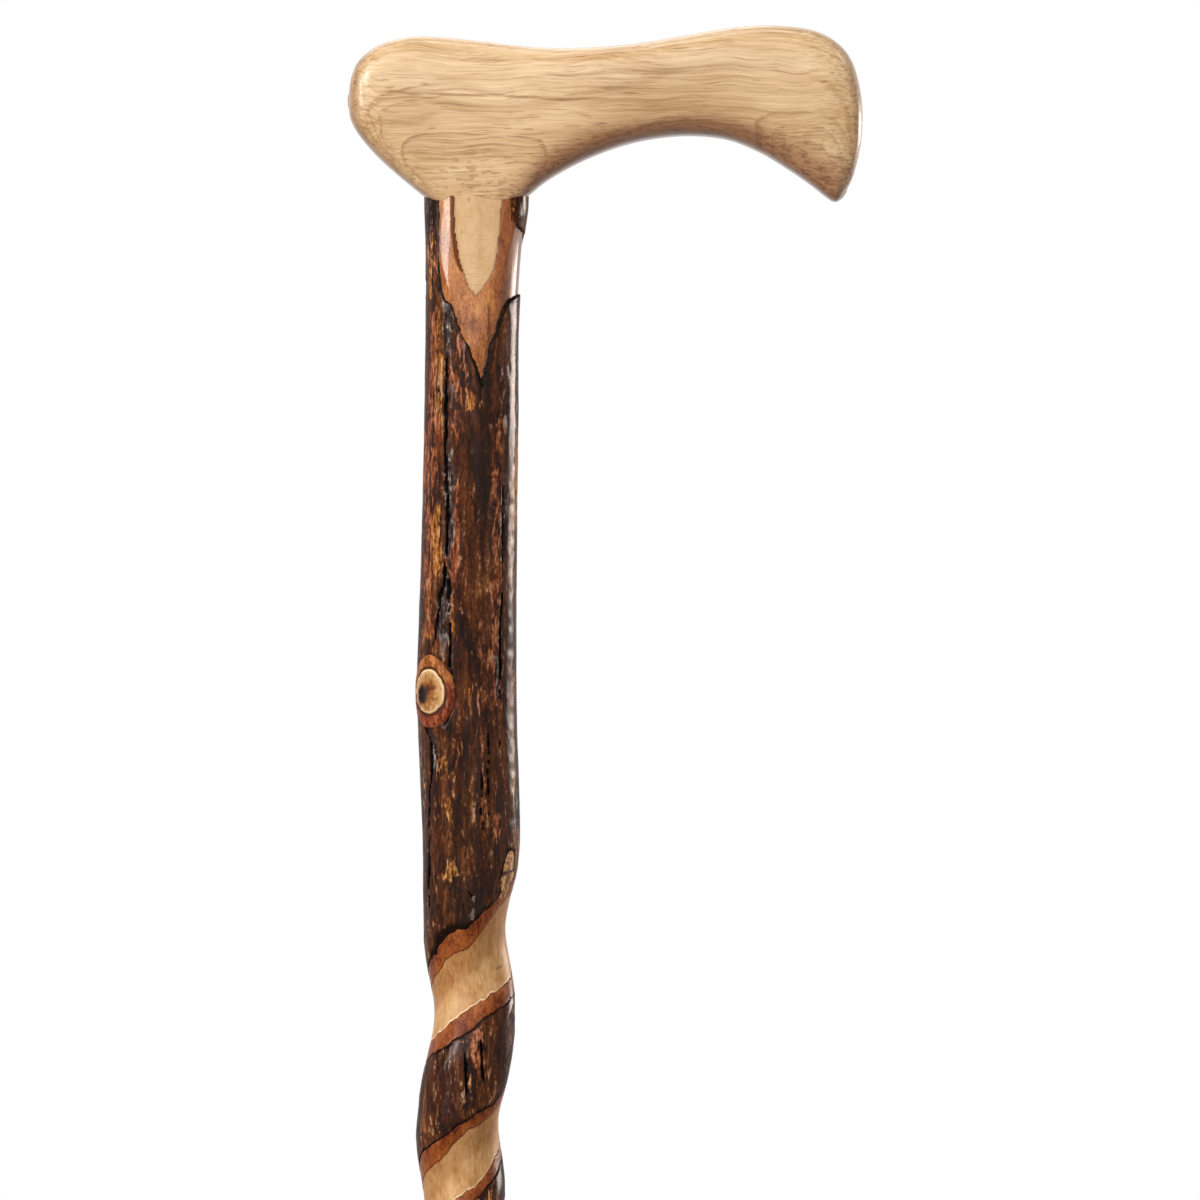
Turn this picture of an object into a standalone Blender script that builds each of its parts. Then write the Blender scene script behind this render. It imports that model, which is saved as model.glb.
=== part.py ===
"""A wooden walking cane: an oak handle on a bark-on stick, with a spiral carved through the bark.

Metres, +Z up. The origin is under the middle of the rubber ferrule, and the handle's beak points to +X.
The stick is three layers, outer bark, inner bark and wood, which every cut lays bare one by one.
"""

import bisect
import math

import bmesh
import bpy
from mathutils import Matrix, Vector

# Fits
GAP = 0.0003  # between pieces that are glued or pressed together
BARK_GAP = 0.0002  # between the stick's layers
FERRULE_CLEARANCE = 0.0003  # between the stick's end and the ferrule's socket
CUT_ROOM = 0.0050  # how far the cutters reach past what they cut

# Stick
STICK_LENGTH = 0.8825
OUTER_BARK_THICKNESS = 0.0010
INNER_BARK_THICKNESS = 0.0008
TENON_RADIUS = 0.0095
TENON_SHOULDER = 0.0003
TENON_CHAMFER = 0.0015
FOOT_STRAIGHT = 0.060

# Distance below the joint, drift of the middle in X and in Y, radius over the bark
STICK_UPPER = (
    (0.000, 0.0001, 0.0000, 0.0139),
    (0.013, -0.0006, 0.0000, 0.0134),
    (0.028, -0.0012, 0.0001, 0.0128),
    (0.065, -0.0014, 0.0003, 0.0129),
    (0.100, -0.0020, 0.0006, 0.0132),
    (0.136, -0.0027, 0.0008, 0.0134),
    (0.175, -0.0016, 0.0004, 0.0136),
    (0.205, -0.0018, 0.0000, 0.0136),
    (0.243, -0.0027, -0.0004, 0.0136),
    (0.300, -0.0020, -0.0008, 0.0135),
)
# Height above the stick's lower end, drift of the middle in X and in Y, radius over the bark
STICK_LOWER = (
    (0.300, -0.0008, 0.0010, 0.0127),
    (0.180, 0.0011, 0.0002, 0.0123),
)

# Spiral groove, one start, rising to the right as seen from any side
SPIRAL_PITCH = 0.0530
SPIRAL_DEPTH = 0.0039
SPIRAL_SPAN = 0.0480
SPIRAL_LIFT = 0.0005  # the groove's lips start this far over the bark, so that they cross it at an angle
SPIRAL_TOP = 0.1881  # below the joint
SPIRAL_TOP_CORNER = 4  # which of the stick's corners the groove starts at, counted from +X towards +Y
SPIRAL_END_HEIGHT = 0.2900  # above the stick's lower end
SPIRAL_RUNOUT = 0.0180  # height in which the groove sinks to its full depth

# Flats that bring the stick's top flush with the handle, front and back
NECK_HALF_THICKNESS = 0.0093
FLAT_LENGTH = 0.070
FLAT_CROWN_RADIUS = 0.050
FLAT_OVERRUN = 0.0105  # how far the cutter runs on below the flat's end
FLAT_FADE = 1.15
FLAT_TURN = math.radians(4)
FLAT_STEPS = 10
FLAT_POINTS = 6

# Knot: a side branch cut flush
KNOT_DROP = 0.1357  # below the joint
KNOT_ANGLE = math.radians(-137)
KNOT_WOOD_WIDTH = 0.0057  # half widths and half heights
KNOT_WOOD_HEIGHT = 0.0062
KNOT_BARED_WIDTH = 0.0082
KNOT_BARED_HEIGHT = 0.0100
KNOT_WOOD_RISE = 0.0005  # over the bark's surface
KNOT_BARK_RISE = 0.0001
KNOT_ROOT = 0.0060  # how deep the branch and its cuts reach
PITH_WIDTH = 0.0014
PITH_HEIGHT = 0.0024
PITH_DEPTH = 0.0012

# Half thickness of the handle's neck before its edges are rounded, which brings it flush with the flats
NECK_FULLNESS = NECK_HALF_THICKNESS + 0.0004

# Handle, in sections from heel to beak. Each has its top edge (x, z), its bottom edge (x, z) and its half
# thickness. x is from the stick's middle at the joint, z from the joint. The sections over the joint run
# below it and are sawn flat.
HANDLE_SECTIONS = (
    (-0.0350, 0.0282, -0.0350, 0.0246, 0.0016),
    (-0.0341, 0.0337, -0.0343, 0.0213, 0.0055),
    (-0.0316, 0.0385, -0.0318, 0.0170, 0.0083),
    (-0.0258, 0.0423, -0.0265, 0.0107, 0.0098),
    (-0.0178, 0.0438, -0.0192, 0.0040, 0.0100),
    (-0.0095, 0.0437, -0.0105, -0.0026, NECK_FULLNESS),
    (0.0000, 0.0428, 0.0000, -0.0072, NECK_FULLNESS),
    (0.0095, 0.0416, 0.0105, -0.0027, NECK_FULLNESS),
    (0.0195, 0.0408, 0.0198, 0.0045, 0.0100),
    (0.0310, 0.0409, 0.0305, 0.0103, 0.0104),
    (0.0440, 0.0420, 0.0430, 0.0147, 0.0108),
    (0.0580, 0.0443, 0.0560, 0.0166, 0.0110),
    (0.0710, 0.0464, 0.0680, 0.0158, 0.0111),
    (0.0830, 0.0469, 0.0775, 0.0123, 0.0110),
    (0.0945, 0.0449, 0.0857, 0.0074, 0.0107),
    (0.1022, 0.0388, 0.0915, 0.0034, 0.0100),
    (0.1056, 0.0282, 0.0952, 0.0005, 0.0090),
    (0.1059, 0.0170, 0.0976, -0.0012, 0.0074),
    (0.1040, 0.0072, 0.0990, -0.0014, 0.0052),
    (0.1018, 0.0018, 0.1000, -0.0008, 0.0022),
)
HANDLE_ROUNDNESS = 2.6
NECK_SQUARENESS = 5.0
NECK_REACH = 0.016  # how far from the stick's middle the squarer neck fades out
SAW_REACH = 0.030

# Stud that joins the handle and the stick
STUD_RADIUS = 0.0040
STUD_CHAMFER = 0.0008
STUD_IN_HANDLE = 0.0300
STUD_IN_STICK = 0.0400
BORE_END_ROOM = 0.0010

# Ferrule
FERRULE_HEIGHT = 0.0440
FERRULE_FLOOR = 0.0085
FERRULE_BASE_RADIUS = 0.0175
FERRULE_BASE_HEIGHT = 0.0070
FERRULE_WALL = 0.0032
FERRULE_RIM = 0.0006
FERRULE_WAIST_HEIGHT = 0.0150
FERRULE_BASE_EDGE = 0.0012
FERRULE_RIBS = 3
RIB_PITCH = 0.0050
RIB_DEPTH = 0.0008
RIB_SLOPE = 0.0010  # height of the sloping sides of the grooves between the ribs
RIB_GROOVE_FLAT = 0.00125
TREAD_DEPTH = 0.0014
TREAD_GROOVES = ((0.0045, 0.0068), (0.0093, 0.0116))  # inner and outer radius
TREAD_CHAMFER = 0.0004
WASHER_THICKNESS = 0.0015
FLARE_STEPS = 5

# Roundness of the meshes
STICK_SIDES = 16
STICK_RING_SPACING = 0.030
SPIRAL_POINTS = 8
HANDLE_SIDES = 18
HANDLE_STEPS = 2
TURNED_STEPS = 28
BORE_SIDES = 20
KNOT_SIDES = 20
FLUSH_FACE_SIDES = 48
MERGE_DISTANCE = 0.00001
SHARP_ANGLE = math.radians(30)

# Levels that follow from the sizes above
WASHER_BOTTOM = FERRULE_FLOOR + GAP
STICK_BOTTOM = WASHER_BOTTOM + WASHER_THICKNESS + GAP
JOINT_HEIGHT = STICK_BOTTOM + STICK_LENGTH
BARK_BOTTOM = FERRULE_HEIGHT + GAP
INNER_BARK_INSET = OUTER_BARK_THICKNESS + BARK_GAP
WOOD_INSET = INNER_BARK_INSET + INNER_BARK_THICKNESS + BARK_GAP
FOOT_RADIUS = TENON_RADIUS + TENON_SHOULDER + WOOD_INSET
SOCKET_RADIUS = TENON_RADIUS + FERRULE_CLEARANCE
BORE_RADIUS = STUD_RADIUS + GAP


def clear_scene():
    for thing in list(bpy.data.objects):
        bpy.data.objects.remove(thing)
    for collection in list(bpy.data.collections):
        bpy.data.collections.remove(collection)


def new_collection(name):
    collection = bpy.data.collections.new(name)
    bpy.context.scene.collection.children.link(collection)
    return collection


clear_scene()
PARTS = new_collection("walking_cane")
CUTTERS = new_collection("cutters")


def material(name, colour, roughness, metallic=0.0):
    found = bpy.data.materials.new(name)
    found.use_nodes = True
    found.diffuse_color = (*colour, 1.0)
    shader = found.node_tree.nodes["Principled BSDF"]
    shader.inputs["Base Color"].default_value = (*colour, 1.0)
    shader.inputs["Roughness"].default_value = roughness
    shader.inputs["Metallic"].default_value = metallic
    return found


def add_part(obj, finish, parent):
    obj.data.materials.append(finish)
    obj.parent = parent
    PARTS.objects.link(obj)
    return obj


def add_cutter(obj):
    obj.hide_render = True
    obj.display_type = "WIRE"
    CUTTERS.objects.link(obj)
    return obj


def add_boolean(obj, operation, other):
    modifier = obj.modifiers.new(f"{operation.lower()}_{other.name}", "BOOLEAN")
    modifier.operation = operation
    modifier.object = other
    modifier.solver = "EXACT"


def smooth_shading(mesh):
    mesh.shade_smooth()
    mesh.set_sharp_from_angle(angle=SHARP_ANGLE)


def settled(obj):
    """The object with its cuts made final, so that the edges they leave can be marked sharp."""
    bpy.context.view_layer.update()
    graph = bpy.context.evaluated_depsgraph_get()
    obj.data = bpy.data.meshes.new_from_object(obj.evaluated_get(graph))
    obj.modifiers.clear()
    smooth_shading(obj.data)
    return obj


def empty(name, location, parent=None):
    obj = bpy.data.objects.new(name, None)
    obj.empty_display_size = 0.02
    obj.location = location
    obj.parent = parent
    PARTS.objects.link(obj)
    return obj


def smooth_values(stations, at):
    """The values at a distance, on a smooth curve through stations of (distance, value, value, ...)."""
    keys = [station[0] for station in stations]
    last = len(keys) - 1
    low = min(max(bisect.bisect_right(keys, at) - 1, 0), last - 1)
    high = low + 1
    span = keys[high] - keys[low]
    t = min(max((at - keys[low]) / span, 0.0), 1.0)
    before, after = max(low - 1, 0), min(high + 1, last)
    values = []
    for column in range(1, len(stations[0])):
        start, end = stations[low][column], stations[high][column]
        start_slope = (end - stations[before][column]) / (keys[high] - keys[before]) * span
        end_slope = (stations[after][column] - start) / (keys[after] - keys[low]) * span
        values.append(
            start * (2 * t**3 - 3 * t**2 + 1)
            + start_slope * (t**3 - 2 * t**2 + t)
            + end * (3 * t**2 - 2 * t**3)
            + end_slope * (t**3 - t**2)
        )
    return values


def smooth_step(t):
    t = min(max(t, 0.0), 1.0)
    return t * t * (3 - 2 * t)


def stick_stations():
    """(height, x, y, radius) from the lower end up."""
    foot = [(STICK_BOTTOM, 0.0, 0.0, FOOT_RADIUS), (STICK_BOTTOM + FOOT_STRAIGHT, 0.0, 0.0, FOOT_RADIUS)]
    lower = [(STICK_BOTTOM + up, x, y, radius) for up, x, y, radius in reversed(STICK_LOWER)]
    upper = [(JOINT_HEIGHT - down, x, y, radius) for down, x, y, radius in reversed(STICK_UPPER)]
    return foot + lower + upper


def stick_sections():
    """(height, x, y, radius) of the sections that every layer of the stick shares."""
    stations = stick_stations()
    heights = []
    for below, above in zip(stations, stations[1:]):
        count = math.ceil((above[0] - below[0]) / STICK_RING_SPACING)
        heights += [below[0] + (above[0] - below[0]) * i / count for i in range(count)]
    return [(height, *smooth_values(stations, height)) for height in heights + [stations[-1][0]]]


SECTIONS = stick_sections()


def stick_section(height):
    """The stick's x, y and radius at a height, straight between its sections."""
    keys = [section[0] for section in SECTIONS]
    low = min(max(bisect.bisect_right(keys, height) - 1, 0), len(keys) - 2)
    t = min(max((height - keys[low]) / (keys[low + 1] - keys[low]), 0.0), 1.0)
    return [a + (b - a) * t for a, b in zip(SECTIONS[low][1:], SECTIONS[low + 1][1:])]


def stick_middle(height):
    x, y, _ = stick_section(height)
    return Vector((x, y, height))


def stick_radius(height):
    return stick_section(height)[2]


def loft(name, rings):
    """A closed mesh through rings of equally many points."""
    mesh = bpy.data.meshes.new(name)
    build = bmesh.new()
    loops = [[build.verts.new(point) for point in ring] for ring in rings]
    for ring, following in zip(loops, loops[1:]):
        for i in range(len(ring)):
            j = (i + 1) % len(ring)
            build.faces.new((ring[i], ring[j], following[j], following[i]))
    build.faces.new(reversed(loops[0]))
    build.faces.new(loops[-1])
    bmesh.ops.recalc_face_normals(build, faces=build.faces)
    build.to_mesh(mesh)
    build.free()
    smooth_shading(mesh)
    return bpy.data.objects.new(name, mesh)


def cone(name, start_radius, end_radius, length, sides, place):
    """A capped cone or cylinder along local +Z from its base, put in place by a matrix."""
    mesh = bpy.data.meshes.new(name)
    build = bmesh.new()
    bmesh.ops.create_cone(
        build,
        cap_ends=True,
        segments=sides,
        radius1=start_radius,
        radius2=end_radius,
        depth=length,
        matrix=place @ Matrix.Translation((0, 0, length / 2)),
    )
    build.to_mesh(mesh)
    build.free()
    smooth_shading(mesh)
    return bpy.data.objects.new(name, mesh)


def turned(name, profile):
    """A profile of (radius, height), down its outer side, turned about Z."""
    mesh = bpy.data.meshes.new(name)
    points = [(radius, 0.0, height) for radius, height in profile]
    mesh.from_pydata(points, [(i, i + 1) for i in range(len(points) - 1)], [])
    obj = bpy.data.objects.new(name, mesh)
    screw = obj.modifiers.new("turn", "SCREW")
    screw.steps = TURNED_STEPS
    screw.render_steps = TURNED_STEPS
    screw.use_merge_vertices = True
    screw.merge_threshold = MERGE_DISTANCE
    screw.use_smooth_shade = True
    return obj


def stick_form(name, inset, low, high):
    """The stick's own form between two heights, drawn in by an inset, through sections of unlike size."""
    angles = [math.tau * side / STICK_SIDES for side in range(STICK_SIDES)]
    levels = [low] + [section[0] for section in SECTIONS if low < section[0] < high] + [high]
    return loft(name, [[stick_point(level, angle, -inset) for angle in angles] for level in levels])


def stick_point(height, angle, out):
    """A point round the stick, at a distance out from its bark's surface."""
    reach = stick_radius(height) + out
    return stick_middle(height) + Vector((math.cos(angle), math.sin(angle), 0)) * reach


def groove_cutter():
    """The spiral groove: a cosine hollow swept round the stick, which comes up to the surface at both ends.

    Its sections stand at the corners of the stick's sides, so that its lips run straight along each side.
    """
    top = JOINT_HEIGHT - SPIRAL_TOP
    bottom = STICK_BOTTOM + SPIRAL_END_HEIGHT
    steps = math.floor((top - bottom) / SPIRAL_PITCH * STICK_SIDES)
    rings = []
    for i in range(steps + 1):
        middle = top - SPIRAL_PITCH * i / STICK_SIDES
        angle = math.tau * (SPIRAL_TOP_CORNER - i) / STICK_SIDES
        end_distance = min(i, steps - i) * SPIRAL_PITCH / STICK_SIDES
        sunk = (SPIRAL_DEPTH + SPIRAL_LIFT) * smooth_step(end_distance / SPIRAL_RUNOUT)
        ring = []
        for j in range(SPIRAL_POINTS + 1):
            across = -1 + 2 * j / SPIRAL_POINTS
            hollow = sunk * 0.5 * (1 + math.cos(math.pi * across))
            ring.append(stick_point(middle + across * SPIRAL_SPAN / 2, angle, SPIRAL_LIFT - hollow))
        for across in (1, -1):
            ring.append(stick_point(middle + across * SPIRAL_SPAN / 2, angle, CUT_ROOM))
        rings.append(ring)
    return add_cutter(loft("groove_cutter", rings))


def flat_cutter(name, turn):
    """What the sander takes off one side of the stick's top: nearly flat at the joint, then fading out."""
    side = stick_radius(JOINT_HEIGHT) + CUT_ROOM
    fade_end = stick_radius(JOINT_HEIGHT - FLAT_LENGTH)
    rings = []
    for i in range(FLAT_STEPS + 1):
        down = -CUT_ROOM + (CUT_ROOM + FLAT_LENGTH + FLAT_OVERRUN) * i / FLAT_STEPS
        faded = (max(down, 0.0) / FLAT_LENGTH) ** FLAT_FADE
        face = NECK_HALF_THICKNESS + (fade_end - NECK_HALF_THICKNESS) * faded
        across = [-side + 2 * side * j / FLAT_POINTS for j in range(FLAT_POINTS + 1)]
        ring = [(x, -(face - x * x / (2 * FLAT_CROWN_RADIUS))) for x in across]
        ring += [(side, -2 * side), (-side, -2 * side)]
        middle = stick_middle(JOINT_HEIGHT - down)
        spin = Matrix.Rotation(turn, 3, "Z")
        rings.append([middle + spin @ Vector((x, y, 0)) for x, y in ring])
    return add_cutter(loft(name, rings))


def knot_plug(name, half_width, half_height, root, face):
    """An oval plug along the knot, from a root to a face, both measured out from the bark's surface."""
    height = JOINT_HEIGHT - KNOT_DROP
    turn = Matrix.Rotation(KNOT_ANGLE, 4, "Z") @ Matrix.Rotation(math.pi / 2, 4, "Y")
    outward = Matrix.Translation((0, 0, stick_radius(height) + root))
    oval = Matrix.Diagonal((half_height, half_width, 1.0, 1.0))
    place = Matrix.Translation(stick_middle(height)) @ turn @ outward @ oval
    return add_cutter(cone(name, 1.0, 1.0, face - root, KNOT_SIDES, place))


def flush_plug(name, half_width, half_height, rise):
    """A plug whose face is cut round with the stick, a little over its surface."""
    plug = knot_plug(name, half_width, half_height, -KNOT_ROOT, KNOT_ROOT)
    height = JOINT_HEIGHT - KNOT_DROP
    radius = stick_radius(height) + rise
    length = 2 * (half_height + CUT_ROOM)
    place = Matrix.Translation(stick_middle(height) - Vector((0, 0, length / 2)))
    face = add_cutter(cone(name + "_face", radius, radius, length, FLUSH_FACE_SIDES, place))
    add_boolean(plug, "INTERSECT", face)
    return plug


def under_bark(name, inset):
    """All of the stick that lies under a layer of bark."""
    return add_cutter(stick_form(name, inset, BARK_BOTTOM - CUT_ROOM, JOINT_HEIGHT + CUT_ROOM))


def build_outer_bark(finish, parent, groove, flats):
    bark = stick_form("outer_bark", 0.0, BARK_BOTTOM, JOINT_HEIGHT)
    core = under_bark("under_outer_bark", OUTER_BARK_THICKNESS)
    width, height = KNOT_BARED_WIDTH + BARK_GAP, KNOT_BARED_HEIGHT + BARK_GAP
    hole = knot_plug("knot_in_outer_bark", width, height, -KNOT_ROOT, KNOT_ROOT)
    for cutter in (core, groove, *flats, hole):
        add_boolean(bark, "DIFFERENCE", cutter)
    return settled(add_part(bark, finish, parent))


def build_inner_bark(finish, parent, groove, flats):
    bark = stick_form("inner_bark", INNER_BARK_INSET, BARK_BOTTOM, JOINT_HEIGHT)
    core = under_bark("under_inner_bark", INNER_BARK_INSET + INNER_BARK_THICKNESS)
    collar = flush_plug("knot_collar", KNOT_BARED_WIDTH, KNOT_BARED_HEIGHT, KNOT_BARK_RISE)
    width, height = KNOT_WOOD_WIDTH + BARK_GAP, KNOT_WOOD_HEIGHT + BARK_GAP
    hole = knot_plug("knot_in_inner_bark", width, height, -KNOT_ROOT - CUT_ROOM, KNOT_ROOT)
    add_boolean(bark, "UNION", collar)
    for cutter in (core, groove, *flats, hole):
        add_boolean(bark, "DIFFERENCE", cutter)
    return settled(add_part(bark, finish, parent))


def build_shaft_wood(finish, parent, groove, flats):
    wood = stick_form("shaft_wood", WOOD_INSET, STICK_BOTTOM, JOINT_HEIGHT)
    branch = flush_plug("knot_branch", KNOT_WOOD_WIDTH, KNOT_WOOD_HEIGHT, KNOT_WOOD_RISE)
    pith = knot_plug("knot_pith", PITH_WIDTH, PITH_HEIGHT, -PITH_DEPTH, KNOT_ROOT)
    bore = stud_bore("stick_bore", -STUD_IN_STICK - BORE_END_ROOM, CUT_ROOM)
    add_boolean(wood, "UNION", branch)
    for cutter in (pith, groove, *flats, tenon_cutter(), bore):
        add_boolean(wood, "DIFFERENCE", cutter)
    return settled(add_part(wood, finish, parent))


def stud_bore(name, low, high):
    """The hole for the stud, between two heights over the joint."""
    place = Matrix.Translation(stick_middle(JOINT_HEIGHT) + Vector((0, 0, low)))
    return add_cutter(cone(name, BORE_RADIUS, BORE_RADIUS, high - low, BORE_SIDES, place))


def tenon_cutter():
    """The ring that the lathe takes off the stick's lower end, with the chamfer at its tip."""
    outside = FOOT_RADIUS + CUT_ROOM
    profile = (
        (TENON_RADIUS, FERRULE_HEIGHT),
        (outside, FERRULE_HEIGHT),
        (outside, STICK_BOTTOM - CUT_ROOM),
        (TENON_RADIUS - TENON_CHAMFER - CUT_ROOM, STICK_BOTTOM - CUT_ROOM),
        (TENON_RADIUS, STICK_BOTTOM + TENON_CHAMFER),
        (TENON_RADIUS, FERRULE_HEIGHT),
    )
    return add_cutter(turned("tenon_cutter", profile))


def squareness(x):
    """How square the handle's underside is: round along the grip, squarer where it meets the stick."""
    return HANDLE_ROUNDNESS + (NECK_SQUARENESS - HANDLE_ROUNDNESS) * math.exp(-((x / NECK_REACH) ** 2))


def handle_ring(top_x, top_z, bottom_x, bottom_z, half_thickness):
    """A rounded section between a top edge and a bottom edge of the handle."""
    middle = Vector((top_x + bottom_x, 0, top_z + bottom_z)) / 2
    up = Vector((top_x - bottom_x, 0, top_z - bottom_z)) / 2
    ring = []
    for i in range(HANDLE_SIDES):
        angle = math.tau * i / HANDLE_SIDES
        power = HANDLE_ROUNDNESS if math.sin(angle) > 0 else squareness(bottom_x)
        rise = math.copysign(abs(math.sin(angle)) ** (2 / power), math.sin(angle))
        out = math.copysign(abs(math.cos(angle)) ** (2 / power), math.cos(angle))
        ring.append(middle + up * rise + Vector((0, half_thickness * out, 0)))
    return ring


def build_handle(finish, parent):
    stations = [(i, *section) for i, section in enumerate(HANDLE_SECTIONS)]
    count = (len(stations) - 1) * HANDLE_STEPS
    rings = [handle_ring(*smooth_values(stations, i / HANDLE_STEPS)) for i in range(count + 1)]
    handle = loft("handle", rings)
    handle.location = (0, 0, JOINT_HEIGHT)
    saw_place = Matrix.Translation((0, 0, JOINT_HEIGHT - SAW_REACH + GAP))
    saw = add_cutter(cone("neck_saw", SAW_REACH, SAW_REACH, SAW_REACH, BORE_SIDES, saw_place))
    add_boolean(handle, "DIFFERENCE", saw)
    add_boolean(handle, "DIFFERENCE", stud_bore("handle_bore", -CUT_ROOM, STUD_IN_HANDLE + BORE_END_ROOM))
    return settled(add_part(handle, finish, parent))


def build_stud(finish, parent):
    top, bottom = STUD_IN_HANDLE, -STUD_IN_STICK
    neck = STUD_RADIUS - STUD_CHAMFER
    profile = (
        (0.0, top),
        (neck, top),
        (STUD_RADIUS, top - STUD_CHAMFER),
        (STUD_RADIUS, bottom + STUD_CHAMFER),
        (neck, bottom),
        (0.0, bottom),
    )
    stud = turned("handle_stud", profile)
    stud.location = stick_middle(JOINT_HEIGHT)
    return add_part(stud, finish, parent)


def tread_profile():
    """The ferrule's underside from its outer edge to the middle, with its tread grooves."""
    points = []
    for inner, outer in sorted(TREAD_GROOVES, reverse=True):
        points += [
            (outer, 0.0),
            (outer - TREAD_CHAMFER, TREAD_DEPTH),
            (inner + TREAD_CHAMFER, TREAD_DEPTH),
            (inner, 0.0),
        ]
    return points


def build_ferrule(finish, parent):
    """A cup with a rolled rim, ribs round its waist, a spread base and a treaded underside."""
    wall = SOCKET_RADIUS + FERRULE_WALL
    profile = [(0.0, FERRULE_FLOOR), (SOCKET_RADIUS, FERRULE_FLOOR)]
    profile += [(SOCKET_RADIUS, FERRULE_HEIGHT - FERRULE_RIM), (SOCKET_RADIUS + FERRULE_RIM, FERRULE_HEIGHT)]
    profile += [(wall - FERRULE_RIM, FERRULE_HEIGHT), (wall, FERRULE_HEIGHT - FERRULE_RIM)]
    for rib in range(FERRULE_RIBS):
        top = FERRULE_HEIGHT - RIB_PITCH * (rib + 1)
        low = top - RIB_SLOPE - RIB_GROOVE_FLAT
        profile += [(wall, top), (wall - RIB_DEPTH, top - RIB_SLOPE)]
        profile += [(wall - RIB_DEPTH, low), (wall, low - RIB_SLOPE)]
    profile += [(wall, FERRULE_WAIST_HEIGHT)]
    for i in range(1, FLARE_STEPS + 1):
        t = i / FLARE_STEPS
        spread = (FERRULE_BASE_RADIUS - wall) * (1 - math.cos(t * math.pi / 2))
        drop = (FERRULE_WAIST_HEIGHT - FERRULE_BASE_HEIGHT) * t
        profile.append((wall + spread, FERRULE_WAIST_HEIGHT - drop))
    profile += [(FERRULE_BASE_RADIUS, FERRULE_BASE_EDGE), (FERRULE_BASE_RADIUS - FERRULE_BASE_EDGE, 0.0)]
    profile += tread_profile() + [(0.0, 0.0)]
    return add_part(turned("ferrule", profile), finish, parent)


def build_washer(finish, parent):
    place = Matrix.Translation((0, 0, WASHER_BOTTOM))
    radius = SOCKET_RADIUS - GAP
    washer = cone("ferrule_washer", radius, radius, WASHER_THICKNESS, TURNED_STEPS, place)
    return add_part(washer, finish, parent)


def build_cane():
    oak = material("oak_varnished", (0.58, 0.37, 0.18), 0.32)
    wood = material("stick_wood_varnished", (0.55, 0.35, 0.16), 0.30)
    inner = material("inner_bark", (0.31, 0.11, 0.035), 0.38)
    outer = material("outer_bark", (0.055, 0.026, 0.013), 0.42)
    steel = material("zinc_steel", (0.60, 0.60, 0.58), 0.35, metallic=1.0)
    rubber = material("black_rubber", (0.012, 0.012, 0.013), 0.65)
    stick = empty("stick_body", (0, 0, 0))
    tip = empty("ferrule_body", (0, 0, 0), stick)
    groove = groove_cutter()
    flats = [flat_cutter("front_flat", FLAT_TURN), flat_cutter("back_flat", math.pi - FLAT_TURN)]
    build_outer_bark(outer, stick, groove, flats)
    build_inner_bark(inner, stick, groove, flats)
    build_shaft_wood(wood, stick, groove, flats)
    build_handle(oak, stick)
    build_stud(steel, stick)
    build_ferrule(rubber, tip)
    build_washer(steel, tip)


build_cane()
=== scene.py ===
"""Looks of the wooden walking cane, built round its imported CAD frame.

Metres, unless a table or a line says millimetres. +Z is up, the handle's beak points to +X and the photograph
looks along +Y. The stick is carved in code: one form, lowered by every cut, from which each layer of bark and
the wood take their own surface. "Down" is a distance below the joint between the handle and the stick.
"""

import math
from functools import partialmethod

import bmesh
import bpy
import numpy as np
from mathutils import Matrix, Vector


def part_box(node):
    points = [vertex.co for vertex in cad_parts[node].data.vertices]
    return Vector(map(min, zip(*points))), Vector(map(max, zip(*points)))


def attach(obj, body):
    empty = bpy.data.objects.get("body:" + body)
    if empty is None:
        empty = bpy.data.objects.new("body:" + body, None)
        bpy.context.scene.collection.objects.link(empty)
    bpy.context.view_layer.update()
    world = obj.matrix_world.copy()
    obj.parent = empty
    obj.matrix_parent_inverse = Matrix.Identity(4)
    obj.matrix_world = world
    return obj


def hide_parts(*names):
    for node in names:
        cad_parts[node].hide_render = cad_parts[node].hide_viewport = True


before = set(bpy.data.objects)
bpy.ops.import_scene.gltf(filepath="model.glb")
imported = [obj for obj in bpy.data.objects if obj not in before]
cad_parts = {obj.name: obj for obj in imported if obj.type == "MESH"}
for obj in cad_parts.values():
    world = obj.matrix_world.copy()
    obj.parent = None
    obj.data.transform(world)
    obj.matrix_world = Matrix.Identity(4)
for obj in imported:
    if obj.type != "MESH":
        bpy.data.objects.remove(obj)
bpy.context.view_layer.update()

MM = 0.001
FRONT = math.radians(-90)

# Levels taken from the frame
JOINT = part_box("shaft_wood")[1][2]
HANDLE_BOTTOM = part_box("handle")[0][2]
STICK_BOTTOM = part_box("shaft_wood")[0][2]
BARK_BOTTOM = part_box("outer_bark")[0][2]
FERRULE_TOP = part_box("ferrule")[1][2]
FERRULE_BASE_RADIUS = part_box("ferrule")[1][0]

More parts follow.
